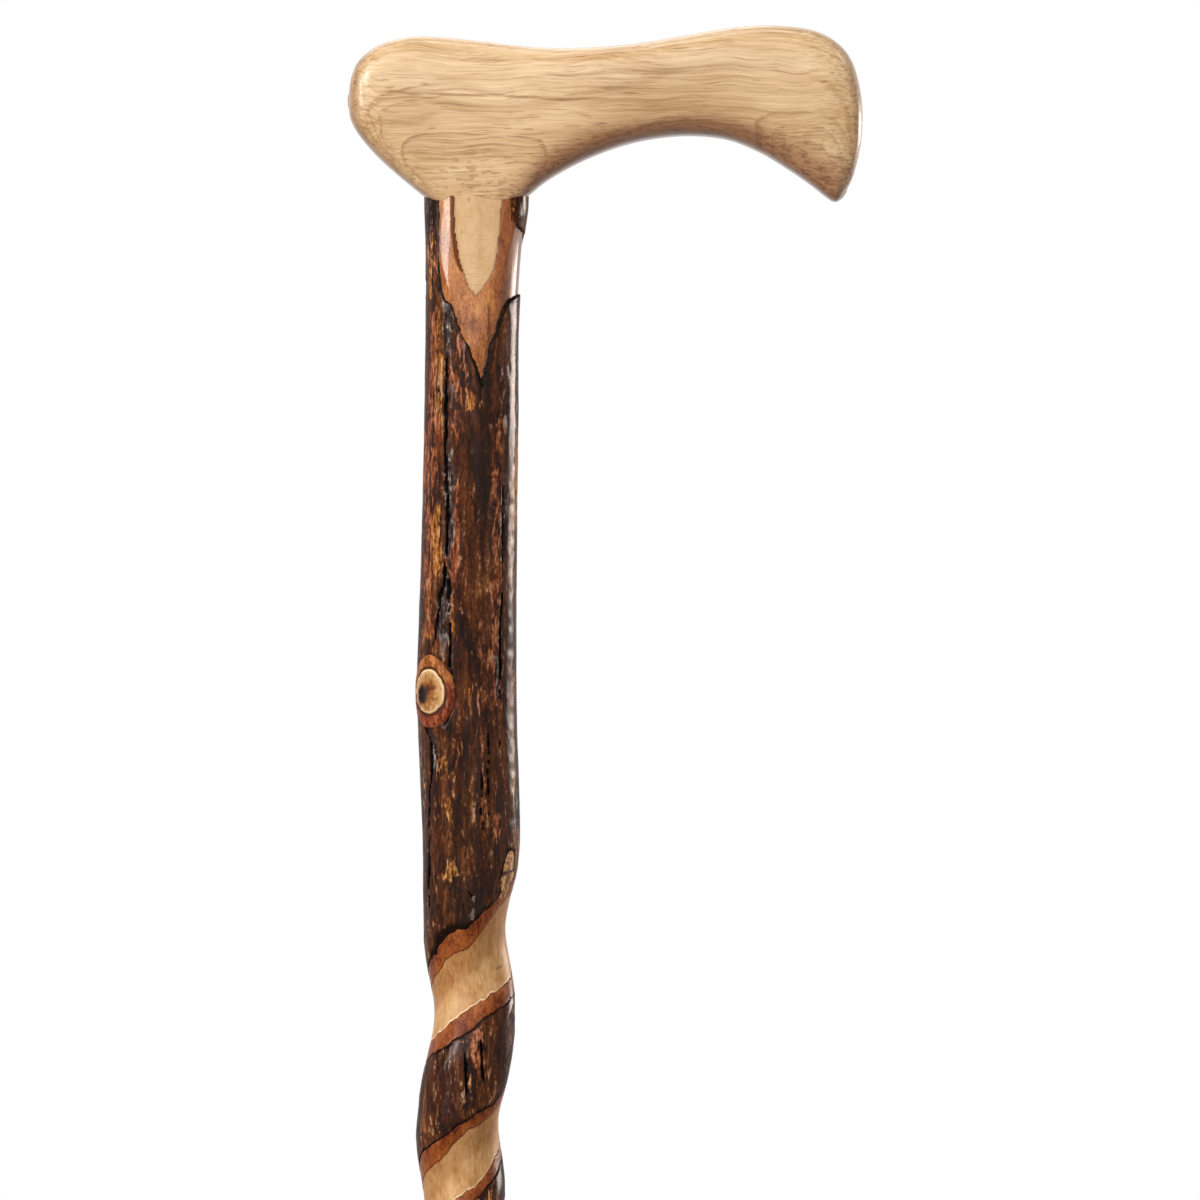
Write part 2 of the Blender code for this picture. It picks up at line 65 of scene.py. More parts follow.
# Stick, as in the CAD, in millimetres: height over its foot or distance down, drift of the middle in X and in
# Y, and radius over the bark
FOOT_STATIONS = ((0, 0, 0, 12), (60, 0, 0, 12), (180, 1.1, 0.2, 12.3), (300, -0.8, 1, 12.7))
TOP_STATIONS = (
    (360, -3.6, -0.3, 12.85), (330, -4.6, -0.6, 12.7), (300, -5.5, -0.8, 12.55),
    (280, -5.33, -0.7, 12.6), (262, -3.64, -0.6, 13.36), (246, -2.01, -0.4, 13.6),
    (232, -2.47, -0.3, 13.26), (218, -2.3, -0.1, 12.92), (205, -1.72, 0, 12.78), (190, -1.8, 0.2, 12.87),
    (175, -1.4, 0.4, 13.45), (136, -2.5, 0.8, 13.6), (100, -2, 0.6, 13.2), (82, -1.65, 0.4, 13),
    (65, -1.4, 0.3, 13), (40, -1.1, 0.1, 12.85), (28, -0.85, 0.1, 13.05), (13, -0.4, 0, 13.55),
    (4, 0.05, 0, 14.25), (0, 0.1, 0, 14.4),
)
STICK_LENGTH = (JOINT - STICK_BOTTOM) / MM
STICK_STATIONS = [*FOOT_STATIONS, *((STICK_LENGTH - down, *row) for down, *row in TOP_STATIONS)]
TENON_RADIUS = 9.5 * MM
TENON_CHAMFER = 1.5 * MM

# Layers: depths under the bark's surface at which the next layer starts, at a few distances down
DEPTH_DOWNS = (0, 50, 180)
OUTER_BARK_DEPTH = (0.5 * MM, 1 * MM, 1.4 * MM)
INNER_BARK_DEPTH = (1.6 * MM, 2.2 * MM, 2.7 * MM)
OUTER_EDGE_STEP = 0.14 * MM
INNER_EDGE_STEP = 0.07 * MM
EDGE_FALL = 1.2
EDGE_DROP = 1.2 * MM
SLEEVE_DEPTH = 6.5 * MM
SLEEVE_RISE = 12 * MM

# Spiral groove
SPIRAL_PITCH = 53 * MM
SPIRAL_DEPTH = 4.2 * MM
SPIRAL_LIFT = 0.3 * MM
SPIRAL_SLANT = 0.843
SPIRAL_END_GAP = 5 * MM
SPIRAL_TOP = JOINT - 188.1 * MM
SPIRAL_TOP_ANGLE = math.radians(90)
SPIRAL_BOTTOM = STICK_BOTTOM + 290 * MM
SPIRAL_RUNOUT = 14 * MM
# The hand-carved groove: turns from its top, millimetres that it strays upwards, its share of the depth, and
# in millimetres its width and the half widths over which it bares the inner bark and the wood
SPIRAL_COURSE = (
    (0, 0, 0.9, 50, 14, 9.5), (0.25, -0.4, 0.73, 43, 15.6, 11.5), (0.35, 1.1, 0.9, 49, 16, 11.2),
    (0.42, 0.9, 0.95, 51, 15, 10.2), (0.5, 0.3, 0.96, 52, 14.3, 8.7), (0.59, 1.6, 1, 53, 15, 9.3),
    (0.67, 1.8, 0.98, 53, 13.8, 8.6), (0.75, 2.6, 0.96, 52, 13.5, 8.5), (1, 2, 1, 53, 13, 8.5),
    (1.25, 2.6, 1.15, 54, 12.2, 8.2), (1.35, 2, 1.02, 52, 11.9, 8.1), (1.41, 1.3, 1, 52, 12.1, 8.6),
    (1.5, 2.1, 0.98, 52, 12.3, 8.7), (1.58, 0.3, 1, 53, 13.6, 8.7), (1.75, 1.5, 0.93, 55, 14, 8.6),
    (2, -0.5, 0.95, 52, 13.2, 8.7), (2.5, 0.8, 1, 53, 14.2, 9.2), (3, -0.9, 0.96, 51, 13, 8.4),
    (3.5, 0.5, 1.03, 54, 14.4, 9.4), (4, -0.8, 0.97, 52, 13.4, 8.6), (4.5, 1.1, 1, 53, 14, 9),
    (5, -0.4, 0.95, 51, 13.1, 8.3), (5.5, 0.6, 1, 53, 14, 9), (6, 0, 0.92, 51, 13, 8.5),
)

# Flats at the stick's top, front and back, each with a sanded facet beside it: angle in degrees, then in
# millimetres distance from the stick's middle at the joint, length, distance at the end, crown and shoulder
FLATS = (
    (-86, 9.3, 60, 13.2, 50, 1.5), (86, 9.3, 60, 13.2, 50, 1.5), (-114, 10.9, 40, 13.3, 60, 0.2),
    (114, 10.9, 40, 13.3, 60, 0.2),
)
FLAT_FADE = 1.15

# Knot
KNOT_DOWN = 135.7
KNOT_HEIGHT = JOINT - KNOT_DOWN * MM
KNOT_ANGLE = math.radians(-137)
KNOT_WOOD = (5.6 * MM, 6.3 * MM)
KNOT_BARED = (8.3 * MM, 10 * MM)
KNOT_POINT = 0.22
KNOT_RISE = 0.8 * MM
KNOT_BULGE = (0.6 * MM, 9 * MM, 12 * MM)
PITH_PLACE = (-2 * MM, -1 * MM)
PITH_DEPTH = 0.5 * MM

# What is bared, the inner bark and then the wood: half width and half height at the knot, the seed of the
# ragged edge, then for the flats rows of millimetres down, left edge and right edge
BARED = (
    (
        KNOT_BARED, 30,
        (-2, -9.9, 9), (7, -9.9, 9.6), (10, -9.9, 13.6), (26.2, -10, 13.6), (28.4, -9, 9.8),
        (30, -6.6, 8.4), (33, -5.4, 7), (37.1, -3.9, 5.8), (41.1, -1.9, 3.8), (46.4, -0.1, 2.8),
        (51.4, 1.8, 1.8), (60, 6, -2),
    ),
    (
        KNOT_WOOD, 40,
        (-2, -5.9, 7.2), (10.4, -5.5, 6.2), (17, -4.4, 5.5), (20.3, -3.5, 4.8), (23, -2.6, 3.4),
        (25, -1.8, 1.9), (26.4, -0.8, 1), (27.6, 0.2, 0.2), (34, 5, -4),
    ),
)

# Chip in the bark above the first groove: millimetres down, angle, half width and half height, and its lean
CHIP = (185.6, math.radians(-34.5), 2.6, 6, 0.09)

# Black beside the bark's cut edges, in millimetres: its usual and its greatest width, and where it is widest,
# as down, place across and reach each way
CHARRED = (1.2, 6, 203, -8, 7, 11)

# Fissures seen on the front, in millimetres: width, depth, then the path as down and place across the stick
FISSURES = (
    (
        0.9, 0.55,
        ((43, -6.9), (57, -7), (69, -6.9), (77, -6.7), (82, -6.3), (92, -5.9), (100, -6.4), (108, -6.7)),
    ),
    (0.8, 0.45, ((103, -5.4), (112, -5), (122, -4.6), (131, -4.3), (139, -4.2), (146, -6.6))),
    (0.9, 0.5, ((106, -7.2), (114, -8), (124, -9.2))),
    (0.55, 0.4, ((78, 9.3), (94, 9.2), (111, 9.3), (124, 9.2), (133, 9.4), (143, 8.9), (152, 8.7))),
    (
        1, 0.45,
        ((142, -12.4), (149, -10.2), (155, -9.9), (164, -11.2), (172, -11.5), (182, -11.4), (196, -11.2)),
    ),
    (0.8, 0.35, ((189, -1.8), (191.2, 0.4), (193, 1.6), (197, 2.2))),
    (0.7, 0.35, ((192, -2.4), (197, -1.8), (203, -1))),
    (0.8, 0.35, ((226, -0.9), (238, -0.5), (250, -0.7))),
    (0.5, 0.3, ((222, -5.6), (231, -5.2), (240, -5.8))),
    (0.5, 0.25, ((228, 4.2), (236, 3.9), (243, 4.3))),
    (0.45, 0.3, ((157, 3.8), (168, 3.1), (178, 3.4))),
    (0.45, 0.25, ((146, 6), (160, 5.2), (176, 5.6))),
)

# Tints of the bark: a seed, then where each is seen on the front, as down from and to, place across and half
# width, all in millimetres, and strength
BARK_TINTS = {
    "gold": (
        50, (34, 47, -10.6, 1.4, 1), (52, 60, 0.2, 1.7, 0.8), (55, 66, 9, 1.4, 0.4),
        (85, 104, -9.2, 1.6, 1), (104, 123, -10.6, 1.2, 0.9), (114, 124, -3.6, 0.9, 0.7),
        (131, 139, 0.6, 2.3, 0.35), (151, 161, -7, 2, 0.6), (162, 174, -5.6, 1.3, 0.8),
        (181, 189, -5.6, 2.1, 0.7), (30, 62, -9, 2.2, 0.45), (-4, 30, -11.7, 1.1, 0.6),
    ),
    "red": (
        70, (44, 56, -4.6, 1.5, 0.8), (57, 74, -9, 1.4, 1), (56, 72, -4.2, 1.3, 0.7),
        (78, 108, -3.4, 0.9, 0.9), (60, 140, 7.6, 1.9, 0.5), (146, 156, -3, 1.6, 0.4),
        (168, 177, 7, 1.2, 0.6), (226, 246, 3, 3, 0.4), (30, 122, -11, 2.6, 0.55),
        (34, 60, -3, 3, 0.35), (-4, 30, -10.7, 0.9, 0.5),
    ),
    # Dark bark with painted glints, grey specks that stand for a lamp's reflection
    "dark_painted_glints": (
        60, (27, 44, -6.6, 1.7, 0.8), (70, 98, -5.3, 1.3, 0.9), (104, 123, -6.8, 1.8, 0.9),
        (124, 138, 8.2, 0.7, 0.8), (146, 160, -9.2, 1.6, 0.6), (185, 188.5, 0.2, 1.3, 0.6),
    ),
    # On a burl: painted glints, and below them a pale crack
    "pale": (95, (189, 195.6, -0.4, 1.5, 1.5), (192.6, 201.6, 0.6, 0.6, 1.5)),
    "dark": (
        80, (42, 94, 4.3, 1.5, 0.9), (60, 84, 0, 2.2, 0.5), (139, 147, 4.6, 4.4, 0.8),
        (96, 128, 2, 3, 0.3), (150, 200, 5, 2.4, 0.4), (186, 203, 0.6, 3.2, 1),
        (143, 205, -3, 9, 0.45),
    ),
}

# Fineness of the stick's meshes
FINE_SIDES = 144
FINE_FROM = 0.6
FINE_STEP = 0.55 * MM
COARSE_STEP = 2.15 * MM
SLEEVE_INNER_RINGS = 43

# Handle, as in the CAD, in millimetres from the joint: top edge (x, z), bottom edge (x, z), half thickness
HANDLE_SECTIONS = (
    (-35, 28, -35, 24.3, 1.6), (-34.1, 33.3, -34.3, 20.8, 5.5), (-31.6, 37.9, -31.8, 16.4, 8.3),
    (-25.8, 41.9, -26.5, 10.4, 9.8), (-17.8, 43.8, -19.2, 4, 10), (-9.5, 43.7, -10.5, -2.6, 9.7),
    (0, 42.8, 0, -7.2, 9.7), (9.5, 41.6, 10.5, -2.7, 9.7), (19.5, 40.8, 19.8, 4.5, 10),
    (31, 40.9, 30.5, 10.3, 10.4), (44, 42, 43, 14.7, 10.8), (58, 44.3, 56, 16.6, 11),
    (71, 46.4, 68, 15.8, 11.1), (83, 46.9, 77.5, 12.3, 11), (94.5, 44.9, 85.7, 7.4, 10.7),
    (102.2, 38.8, 91.5, 3.4, 10), (105.6, 28.2, 95.2, 0.5, 9), (105.9, 17, 97.6, -1.2, 7.4),
    (104, 7.2, 99, -1.4, 5.2), (101.8, 1.8, 100, -0.8, 2.2),
)
HANDLE_ROUNDNESS = 3.4
NECK_SQUARENESS = 5
NECK_REACH = 16 * MM
HANDLE_SIDES = 112
HANDLE_ANGLES = np.arange(HANDLE_SIDES) * math.tau / HANDLE_SIDES
HANDLE_STEPS = 12
HANDLE_CAP_RINGS = 5
HANDLE_CAP_RISE = 0.25 * MM
HANDLE_CAP_LEAST = 0.02
HANDLE_EDGE = 0.3 * MM
HANDLE_SHARP = math.radians(50)
# The underside, where shade is painted darker and pores are dotted: where round the handle it starts, by
# millimetres of x, and its ends and their fading
UNDERSIDE_FROM = ((12, 0.2), (34, 0.05), (46, 0.24), (72, 0.24), (84, 0.2), (98, 0.05))
UNDERSIDE_SPAN = (5 * MM, 112 * MM, 14 * MM)

# Ferrule, as in the CAD
SOCKET_RADIUS = 9.8 * MM
FERRULE_WALL = 3.2 * MM
FERRULE_FLOOR = 8.5 * MM
RIM_RADIUS = 0.6 * MM
RIB_PITCH = 5 * MM
RIB_DEPTH = 0.8 * MM
RIB_HALF = 1.6 * MM
RIB_SHARPNESS = 0.8
RIBS = 3
WAIST_HEIGHT = 15 * MM
BASE_HEIGHT = 7 * MM
BASE_EDGE = 1.2 * MM
TREAD_DEPTH = 1.4 * MM
TREAD_GROOVES = ((9.3 * MM, 11.6 * MM), (4.5 * MM, 6.8 * MM))
TREAD_SLOPE = 0.4 * MM
FERRULE_SIDES = 128

# Figures in the oak's grain, in millimetres: middle across and over the joint, half sizes, squareness, rings,
# and how much each millimetre down narrows and moves it
OAK_FIGURES = (
    (6, 5, 40, 22.6, 3.6, 1, 0.016, 0), (6, 5, 44.5, 26, 3.4, 1, 0.016, 0),
    (-0.6, 1, 23.5, 16.2, 4.6, 1, 0.024, 0.08), (87, 4, 16.5, 19.5, 2.6, 2.9, 0.012, 0.3),
    (99.2, 6.8, 4.6, 5, 2, 2.4, 0, 0),
)
# Half width over which a figure belongs to the heel, and what the rings' lines are wide and reach
HEEL_FIGURE = 30
OAK_LINE = 0.8
OAK_RING_REACH = 0.62
LONG_LINE_HEIGHT = 27.4
# A dark fleck in the first groove's wood, in millimetres: place across and over the joint
FLECK = (6.3, -211.4)

# Colours from dark to light, as (position, colour) of 0 to 255 on the screen
OAK_TONES = (
    (0.1, (170, 128, 78)), (0.32, (199, 161, 111)), (0.52, (216, 182, 135)), (0.72, (225, 192, 147)),
    (0.95, (237, 207, 165)),
)
WOOD_TONES = ((0.1, (174, 126, 76)), (0.35, (199, 153, 101)), (0.6, (215, 174, 124)), (0.9, (228, 191, 145)))
KNOT_TONES = (
    (0.05, (66, 30, 14)), (0.3, (116, 62, 26)), (0.5, (150, 98, 46)), (0.68, (184, 136, 82)),
    (0.88, (206, 164, 110)),
)
INNER_TONES = (
    (0.05, (98, 44, 10)), (0.3, (142, 80, 32)), (0.5, (172, 108, 54)), (0.72, (192, 128, 68)),
    (0.95, (212, 154, 92)),
)
CHIP_TONES = ((0.34, (118, 66, 24)), (0.46, (166, 112, 60)), (0.56, (208, 158, 98)), (0.7, (238, 200, 150)))
RUST_TONES = ((0.18, (66, 22, 8)), (0.42, (112, 46, 22)), (0.62, (144, 68, 38)), (0.9, (204, 132, 90)))
TOP_RUST_TONES = ((0.18, (92, 44, 12)), (0.42, (146, 82, 34)), (0.62, (180, 112, 56)), (0.9, (214, 150, 96)))
OUTER_TONES = (
    (0.02, (24, 3, 0)), (0.28, (51, 18, 0)), (0.5, (72, 33, 5)), (0.72, (92, 48, 18)),
    (0.94, (126, 77, 38)), (1, (154, 101, 60)),
)
GOLD_TONES = ((0.1, (58, 26, 6)), (0.36, (128, 72, 24)), (0.58, (176, 112, 48)), (0.85, (218, 164, 94)))
RED_TONES = ((0.1, (52, 18, 5)), (0.4, (112, 52, 24)), (0.62, (150, 82, 46)), (0.9, (192, 128, 88)))
# Dark bark with painted grey glints
PAINTED_GLINT_TONES = ((0.35, (14, 9, 8)), (0.55, (42, 32, 30)), (0.7, (92, 80, 77)), (0.9, (168, 156, 150)))
RUBBER_TONES = ((0.35, (24, 24, 25)), (0.7, (40, 40, 41)))
ZINC_TONES = ((0.3, (176, 176, 172)), (0.7, (204, 204, 200)))

# Photograph: the width and the middle of what it shows, and the lowest height that it shows
PHOTO_WIDTH = 0.3294
PHOTO_MIDDLE = (0.034, 0.7824)
PHOTO_BOTTOM = 0.61
CAMERA_DISTANCE = 3

# Studio: the world's strength on surfaces from low to high, and the floor's colour as it is seen and in the
# light that it throws back
WORLD_SOFT = (0.24, 0.42)
FLOOR_PAINT = (232, 232, 232)
FLOOR_BOUNCE = (112, 88, 68)
FLOOR_RADIUS = 3.5
FLOOR_FADE = (0.5, 2.2)
# How far the floor lies under the cane, so that the ferrule can be pulled off over it
FLOOR_DROP = 41 * MM

# Softboxes: name, place, target, width, height, brightness, where 1 is white, and colour
WHITE = (255, 255, 255)
WARM = (255, 238, 226)
SOFTBOXES = (
    ("key", (-1.728, -1.195, 1.2), (0, 0, 0.88), 0.2, 0.5, 33, WARM),
    ("strip", (1.9, 1.25, 0.9), (0, 0, 0.9), 1.1, 0.21, 31, WARM),
    ("front", (-0.6, -1.72, 1.88), (0, 0, 0.8), 2.8, 1.8, 2, WHITE),
    ("heel_spot", (-1.44, -1.58, 1.53), (0, 0, 0.92), 0.42, 0.42, 24, WHITE),
    ("top", (0.06, 0.12, 2.5), (0.06, 0, 0.93), 1.3, 0.16, 7, WHITE),
    ("beak_spot", (1.6, -0.3, 2.2), (0, 0, 0.9), 0.5, 0.5, 5, WHITE),
    ("back", (-0.4, 1.6, 2.3), (0, 0, 0.8), 1.2, 1, 1.2, WHITE),
)


# Shapes in numbers


def ease(t):
    t = np.clip(t, 0, 1)
    return t * t * (3 - 2 * t)


def smooth_curve(stations, at):
    """The values at each distance in at, on a smooth curve through stations of (distance, value, ...)."""
    keys, *columns = np.array(stations).T
    last = len(keys) - 1
    low = np.clip(np.searchsorted(keys, at, side="right") - 1, 0, last - 1)
    before, after = np.maximum(low - 1, 0), np.minimum(low + 2, last)
    span = keys[low + 1] - keys[low]
    t = np.clip((at - keys[low]) / span, 0, 1)
    values = []
    for column in columns:
        start, end = column[low], column[low + 1]
        start_slope = (end - column[before]) / (keys[low + 1] - keys[before]) * span
        end_slope = (column[after] - start) / (keys[after] - keys[low]) * span
        ends = start * (2 * t**3 - 3 * t**2 + 1) + end * (3 * t**2 - 2 * t**3)
        values.append(ends + start_slope * (t**3 - 2 * t**2 + t) + end_slope * (t**3 - t**2))
    return values


NOISE_SEED = 11
NOISE_CELLS = 64
LATTICE = np.random.default_rng(NOISE_SEED).random((NOISE_CELLS, NOISE_CELLS, NOISE_CELLS))


def noise(*place):
    """Smooth noise from -1 to 1 with lumps about one unit across."""
    cells = [np.floor(axis).astype(int) for axis in place]
    weights = [ease(axis - cell) for axis, cell in zip(place, cells)]
    total = 0
    for corner in range(8):
        steps = [corner >> bit & 1 for bit in range(3)]
        share = math.prod(weight if step else 1 - weight for step, weight in zip(steps, weights))
        index = tuple((cell + step) % NOISE_CELLS for cell, step in zip(cells, steps))
        total = total + share * LATTICE[index]
    return 2 * total - 1


def turn_between(angle, other):
    """The signed turn from other to angle, within half a turn."""
    return (angle - other + math.pi) % math.tau - math.pi


def spiral_groove(angle, height):
    """The groove's depth, then for the inner bark and the wood how far inside its edge each point is, in
    metres and negative outside, and how deep that edge lies, and whether its lower edge is the near one."""
    turns = (angle - SPIRAL_TOP_ANGLE) / math.tau
    turns -= np.round(turns + (SPIRAL_TOP - height) / SPIRAL_PITCH)
    stray, share, width, *bared_halves = smooth_curve(SPIRAL_COURSE, -turns)
    middle = SPIRAL_TOP + SPIRAL_PITCH * turns + stray * MM
    end = ease(np.minimum(SPIRAL_TOP - middle, middle - SPIRAL_BOTTOM) / SPIRAL_RUNOUT)

    def depth_at(distance):
        hollow = 0.5 + 0.5 * np.cos(math.pi * np.clip(distance / (width * MM / 2), 0, 1))
        return (SPIRAL_DEPTH + SPIRAL_LIFT) * share * end * hollow - SPIRAL_LIFT

    aside = np.abs(height - middle)
    halves = [half * MM * end for half in bared_halves]
    gaps = [(half - aside) * SPIRAL_SLANT - (1 - end) * SPIRAL_END_GAP for half in halves]
    down = (JOINT - height) / MM
    usual = [np.interp(down, DEPTH_DOWNS, depths) for depths in (OUTER_BARK_DEPTH, INNER_BARK_DEPTH)]
    depths = [depth * (1 - end) + depth_at(half) * end for depth, half in zip(usual, halves)]
    lower = ease((middle - height) / (4 * MM) + 0.5) * (end > 0.3)
    return depth_at(aside), gaps, depths, lower


def flat_reach(angle, down, flat):
    """The radius that one flat leaves, far outside the stick where it takes nothing."""
    flat_angle, face_at_joint, length, face_at_end, crown_radius, _ = flat
    face = face_at_joint + (face_at_end - face_at_joint) * (np.maximum(down, 0) / length) ** FLAT_FADE
    turn = turn_between(angle, math.radians(flat_angle))
    bend = np.maximum(np.sin(turn) ** 2 / (2 * crown_radius), 1e-6)
    reach = (-np.cos(turn) + np.sqrt(np.cos(turn) ** 2 + 4 * bend * face)) / (2 * bend)
    return np.where(np.cos(turn) > 0.1, reach * MM, 1)


def smooth_min(first, second, reach):
    """The lesser of two, rounded where they are nearly equal."""
    overlap = np.maximum(reach - np.abs(first - second), 0) / reach
    return np.minimum(first, second) - overlap**2 * reach / 4


class StickForm:
    """The stick at a set of points, each given by its angle and height. Down is in millimetres."""

    def __init__(self, angle, height):
        self.angle, self.height, self.down = angle, height, (JOINT - height) / MM
        self.x, self.y, self.radius = smooth_curve(np.array(STICK_STATIONS) * MM, height - STICK_BOTTOM)
        self.knot_aside, self.knot_up = self.round_from(KNOT_ANGLE), height - KNOT_HEIGHT
        bulge, across, along = KNOT_BULGE
        bulge = bulge * np.exp(-((self.knot_aside / across) ** 2) - (self.knot_up / along) ** 2)
        calm = ease((height - BARK_BOTTOM) / (30 * MM)) * ease(self.down / 20)
        self.natural = self.radius + (0.1 * MM * self.noise(10, 22, 1) + bulge) * calm
        groove, self.gaps, self.layers, self.lower = spiral_groove(angle, height)
        self.cut = self.natural - groove + 0.035 * MM * self.noise(5, 6, 2)
        for flat in FLATS:
            self.cut = smooth_min(self.cut, flat_reach(angle, self.down, flat), flat[-1] * MM)
        self.depth = np.maximum(self.natural - self.cut, 0)
        self.lateral = self.x + np.minimum(self.natural, self.cut) * np.cos(angle)
        # 1 on the front of the upper stick, where the marks are named, and 0 where noise places them
        front = ease((1.35 - np.abs(turn_between(angle, FRONT))) / 0.3) * ease(self.down / 20)
        self.seen = front * ease((height - PHOTO_BOTTOM) / (25 * MM))

    def noise(self, across, along, seed):
        """Noise on the stick, with lumps of that size in millimetres across and along the grain."""
        reach, shift = 13 / across, 7.31 * seed
        x, y = np.cos(self.angle) * reach + shift, np.sin(self.angle) * reach + 0.7 * shift
        return noise(x, y, self.height / MM / along + shift)

    def round_from(self, angle):
        """The way round the stick from an angle to each point."""
        return turn_between(self.angle, angle) * self.radius

    def across_front(self, place):
        """The way round the stick from a place across its front to each point, in millimetres."""
        return self.round_from(FRONT + np.arcsin(np.clip(place * MM / self.radius, -0.98, 0.98))) / MM

    def between(self, start, end, fade, stray):
        """1 between two distances down, with soft ends that lie a stray further out."""
        return ease((self.down - start + stray) / fade) * ease((end - self.down + stray) / fade)

    def in_knot(self, size):
        """The distance inside an oval round the knot, negative outside it."""
        narrowing = 1 - KNOT_POINT * np.maximum(self.knot_up / size[1], 0)
        ragged = (0.25 * self.noise(2.2, 2.2, 90) + 0.15 * self.noise(1, 1, 91)) * MM
        oval = np.hypot(self.knot_aside / size[0] / narrowing, self.knot_up / size[1])
        return (1 - oval) * size[0] + ragged

    def in_chip(self):
        """The distance inside the pale chip, negative outside it."""
        down, angle, half_width, half_height, lean = CHIP
        up = down - self.down
        oval = np.hypot((self.round_from(angle) / MM - lean * up) / half_width, up / half_height)
        return ((1 - oval) * half_width + 0.7 * self.noise(1.4, 2.2, 37)) * MM

    def bared(self, layer):
        """The distance inside the area where a layer is cut away, negative where the layer is still there."""
        knot_size, seed, *outline = BARED[layer]
        downs, *edges = zip(*outline)
        left, right = (np.interp(self.down, downs, edge) * MM for edge in edges)
        on_flat = np.minimum(self.lateral - left, right - self.lateral)
        on_flat = np.where(self.down < downs[-1], on_flat, -20 * MM)
        under = np.maximum(self.gaps[layer] + 0.45 * MM * self.noise(2.6, 2.6, seed + 3), on_flat)
        ragged = (0.36 * self.noise(1.7, 2.6, seed) + 0.24 * self.noise(0.9, 1.2, seed + 1)) * MM
        under = under + ragged * (0.3 + 0.7 * ease((self.down - 20) / 15))
        return np.maximum(under, self.in_knot(knot_size) + 0.25 * MM * self.noise(2, 2, seed + 2))

    def charred(self):
        """How wide the bark is black beside its cut edges: widest at the left end of the first groove."""
        usual, most, down, place, across, along = CHARRED
        near = np.exp(-((self.across_front(place) / across) ** 2) - ((self.down - down) / along) ** 2)
        by_knot = ease(self.in_knot(KNOT_BARED) / (3 * MM) + 1.3)
        return (usual * (1 - 0.65 * by_knot) + (most - usual) * near) * MM

    def fissures(self):
        """How far into a fissure each point is: 0 outside and 1 at its middle, with its depth."""
        wander = 0.26 * self.noise(3, 3, 3) + 0.24 * self.noise(1.6, 1.3, 4)
        swell = np.maximum(0.95 + 0.7 * self.noise(6, 3.4, 5) + 0.6 * self.noise(3, 1.2, 9), 0.12)
        inside = depth = np.zeros_like(self.height)
        for width, deep, path in FISSURES:
            downs, places = zip(*path)
            aside = np.abs(self.across_front(np.interp(self.down, downs, places)) + wander)
            near = np.clip(1.15 - aside / (width * swell * 0.62), 0, 1)
            near = near * self.between(downs[0], downs[-1], 4, 1)
            inside = np.maximum(inside, near)
            depth = np.maximum(depth, ease(near * 1.3) * deep * MM)
        ridge = np.abs(self.noise(4.2, 40, 6) + 0.22 * self.noise(2.2, 5, 7))
        where = ease(1.6 * self.noise(7, 30, 8) + 0.1 - 0.8 * self.seen)
        near = np.clip(1 - ridge / (0.075 * swell), 0, 1) * where
        return np.maximum(inside, near), np.maximum(depth, ease(near) * 0.3 * MM)

    def tint(self, kind):
        """How strongly the bark has one tint: named places on the front and a noise elsewhere."""
        seed, *places = BARK_TINTS[kind]
        aside_stray = 0.7 * self.noise(3, 5, seed)
        end_stray = 3 * self.noise(1.6, 30, seed + 1)
        ragged = 0.65 + 0.7 * self.noise(0.9, 3.2, seed + 2)
        total = np.zeros_like(self.height)
        for start, end, place, half_width, strength in places:
            aside = self.across_front(place) + aside_stray
            near = strength * np.exp(-((aside / half_width) ** 2)) * self.between(start, end, 3, end_stray)
            total = np.maximum(total, near)
        patches = self.noise(2.6, 16, seed + 3) + 0.6 * self.noise(9, 50, seed + 4)
        random = 0.9 * ease(1.9 * patches - 0.55) * (1 - 0.75 * self.seen) * (kind != "pale")
        return np.clip(np.maximum(total, random) * (0.6 + 0.8 * ragged), 0, 1)


def under_edge(distance):
    """How far a layer drops where it is cut away, so that its edge ends in the layer below."""
    return np.clip(distance * EDGE_FALL, 0, EDGE_DROP)


def outer_bark_surface(form):
    fissure, fissure_depth = form.fissures()
    marks = {kind: form.tint(kind) for kind in BARK_TINTS}
    whole = 1 - ease(form.depth / (0.5 * MM))
    fine = (0.05 + 0.09 * marks["dark_painted_glints"]) * form.noise(1, 2.2, 21)
    relief = (0.06 * form.noise(1.8, 9, 20) + fine - 0.12 * marks["dark_painted_glints"]) * MM - fissure_depth
    bared = np.maximum(form.bared(0), form.in_chip())
    surface = np.minimum(form.natural, form.cut) + OUTER_EDGE_STEP * ease(form.depth / MM)
    marks["fissure"] = fissure * whole
    marks["cut"] = np.clip(form.depth / form.layers[0], 0, 1)
    marks["edge"] = np.clip(1 + bared / form.charred(), 0, 1)
    return surface + relief * whole * ease(form.down / 3) - under_edge(bared), marks


def inner_bark_surface(form):
    bared, outer_bared, chip = form.bared(1), form.bared(0), form.in_chip()
    top = form.natural - form.layers[0] + ease(chip / MM + 1.5) * (form.layers[0] - 0.15 * MM)
    surface = np.minimum(top, form.cut)
    ring = ease(form.in_knot(KNOT_BARED) / (1.2 * MM) + 0.6)
    surface = surface + ring * (form.natural + 0.6 * KNOT_RISE - surface)
    # Where a dark shadow line is painted down the tongue's left edge at the neck
    neck_left = ease(-turn_between(form.angle, FRONT) / 0.1) * ease((24 - form.down) / 6)
    fibres = 0.02 * MM * form.noise(1.2, 8, 47)
    marks = {
        "inward": np.clip(outer_bared / np.maximum(outer_bared - bared, 0.1 * MM), 0, 1),
        "edge": np.clip(1 + bared / ((0.9 + ring) * MM), 0, 1),
        "painted_shadow_line": np.clip(1 + bared / (2.2 * MM), 0, 1) * neck_left,
        "chip": ease(chip / (0.8 * MM) + 0.6),
        "knot": ring,
    }
    return surface + INNER_EDGE_STEP + fibres - under_edge(bared), marks


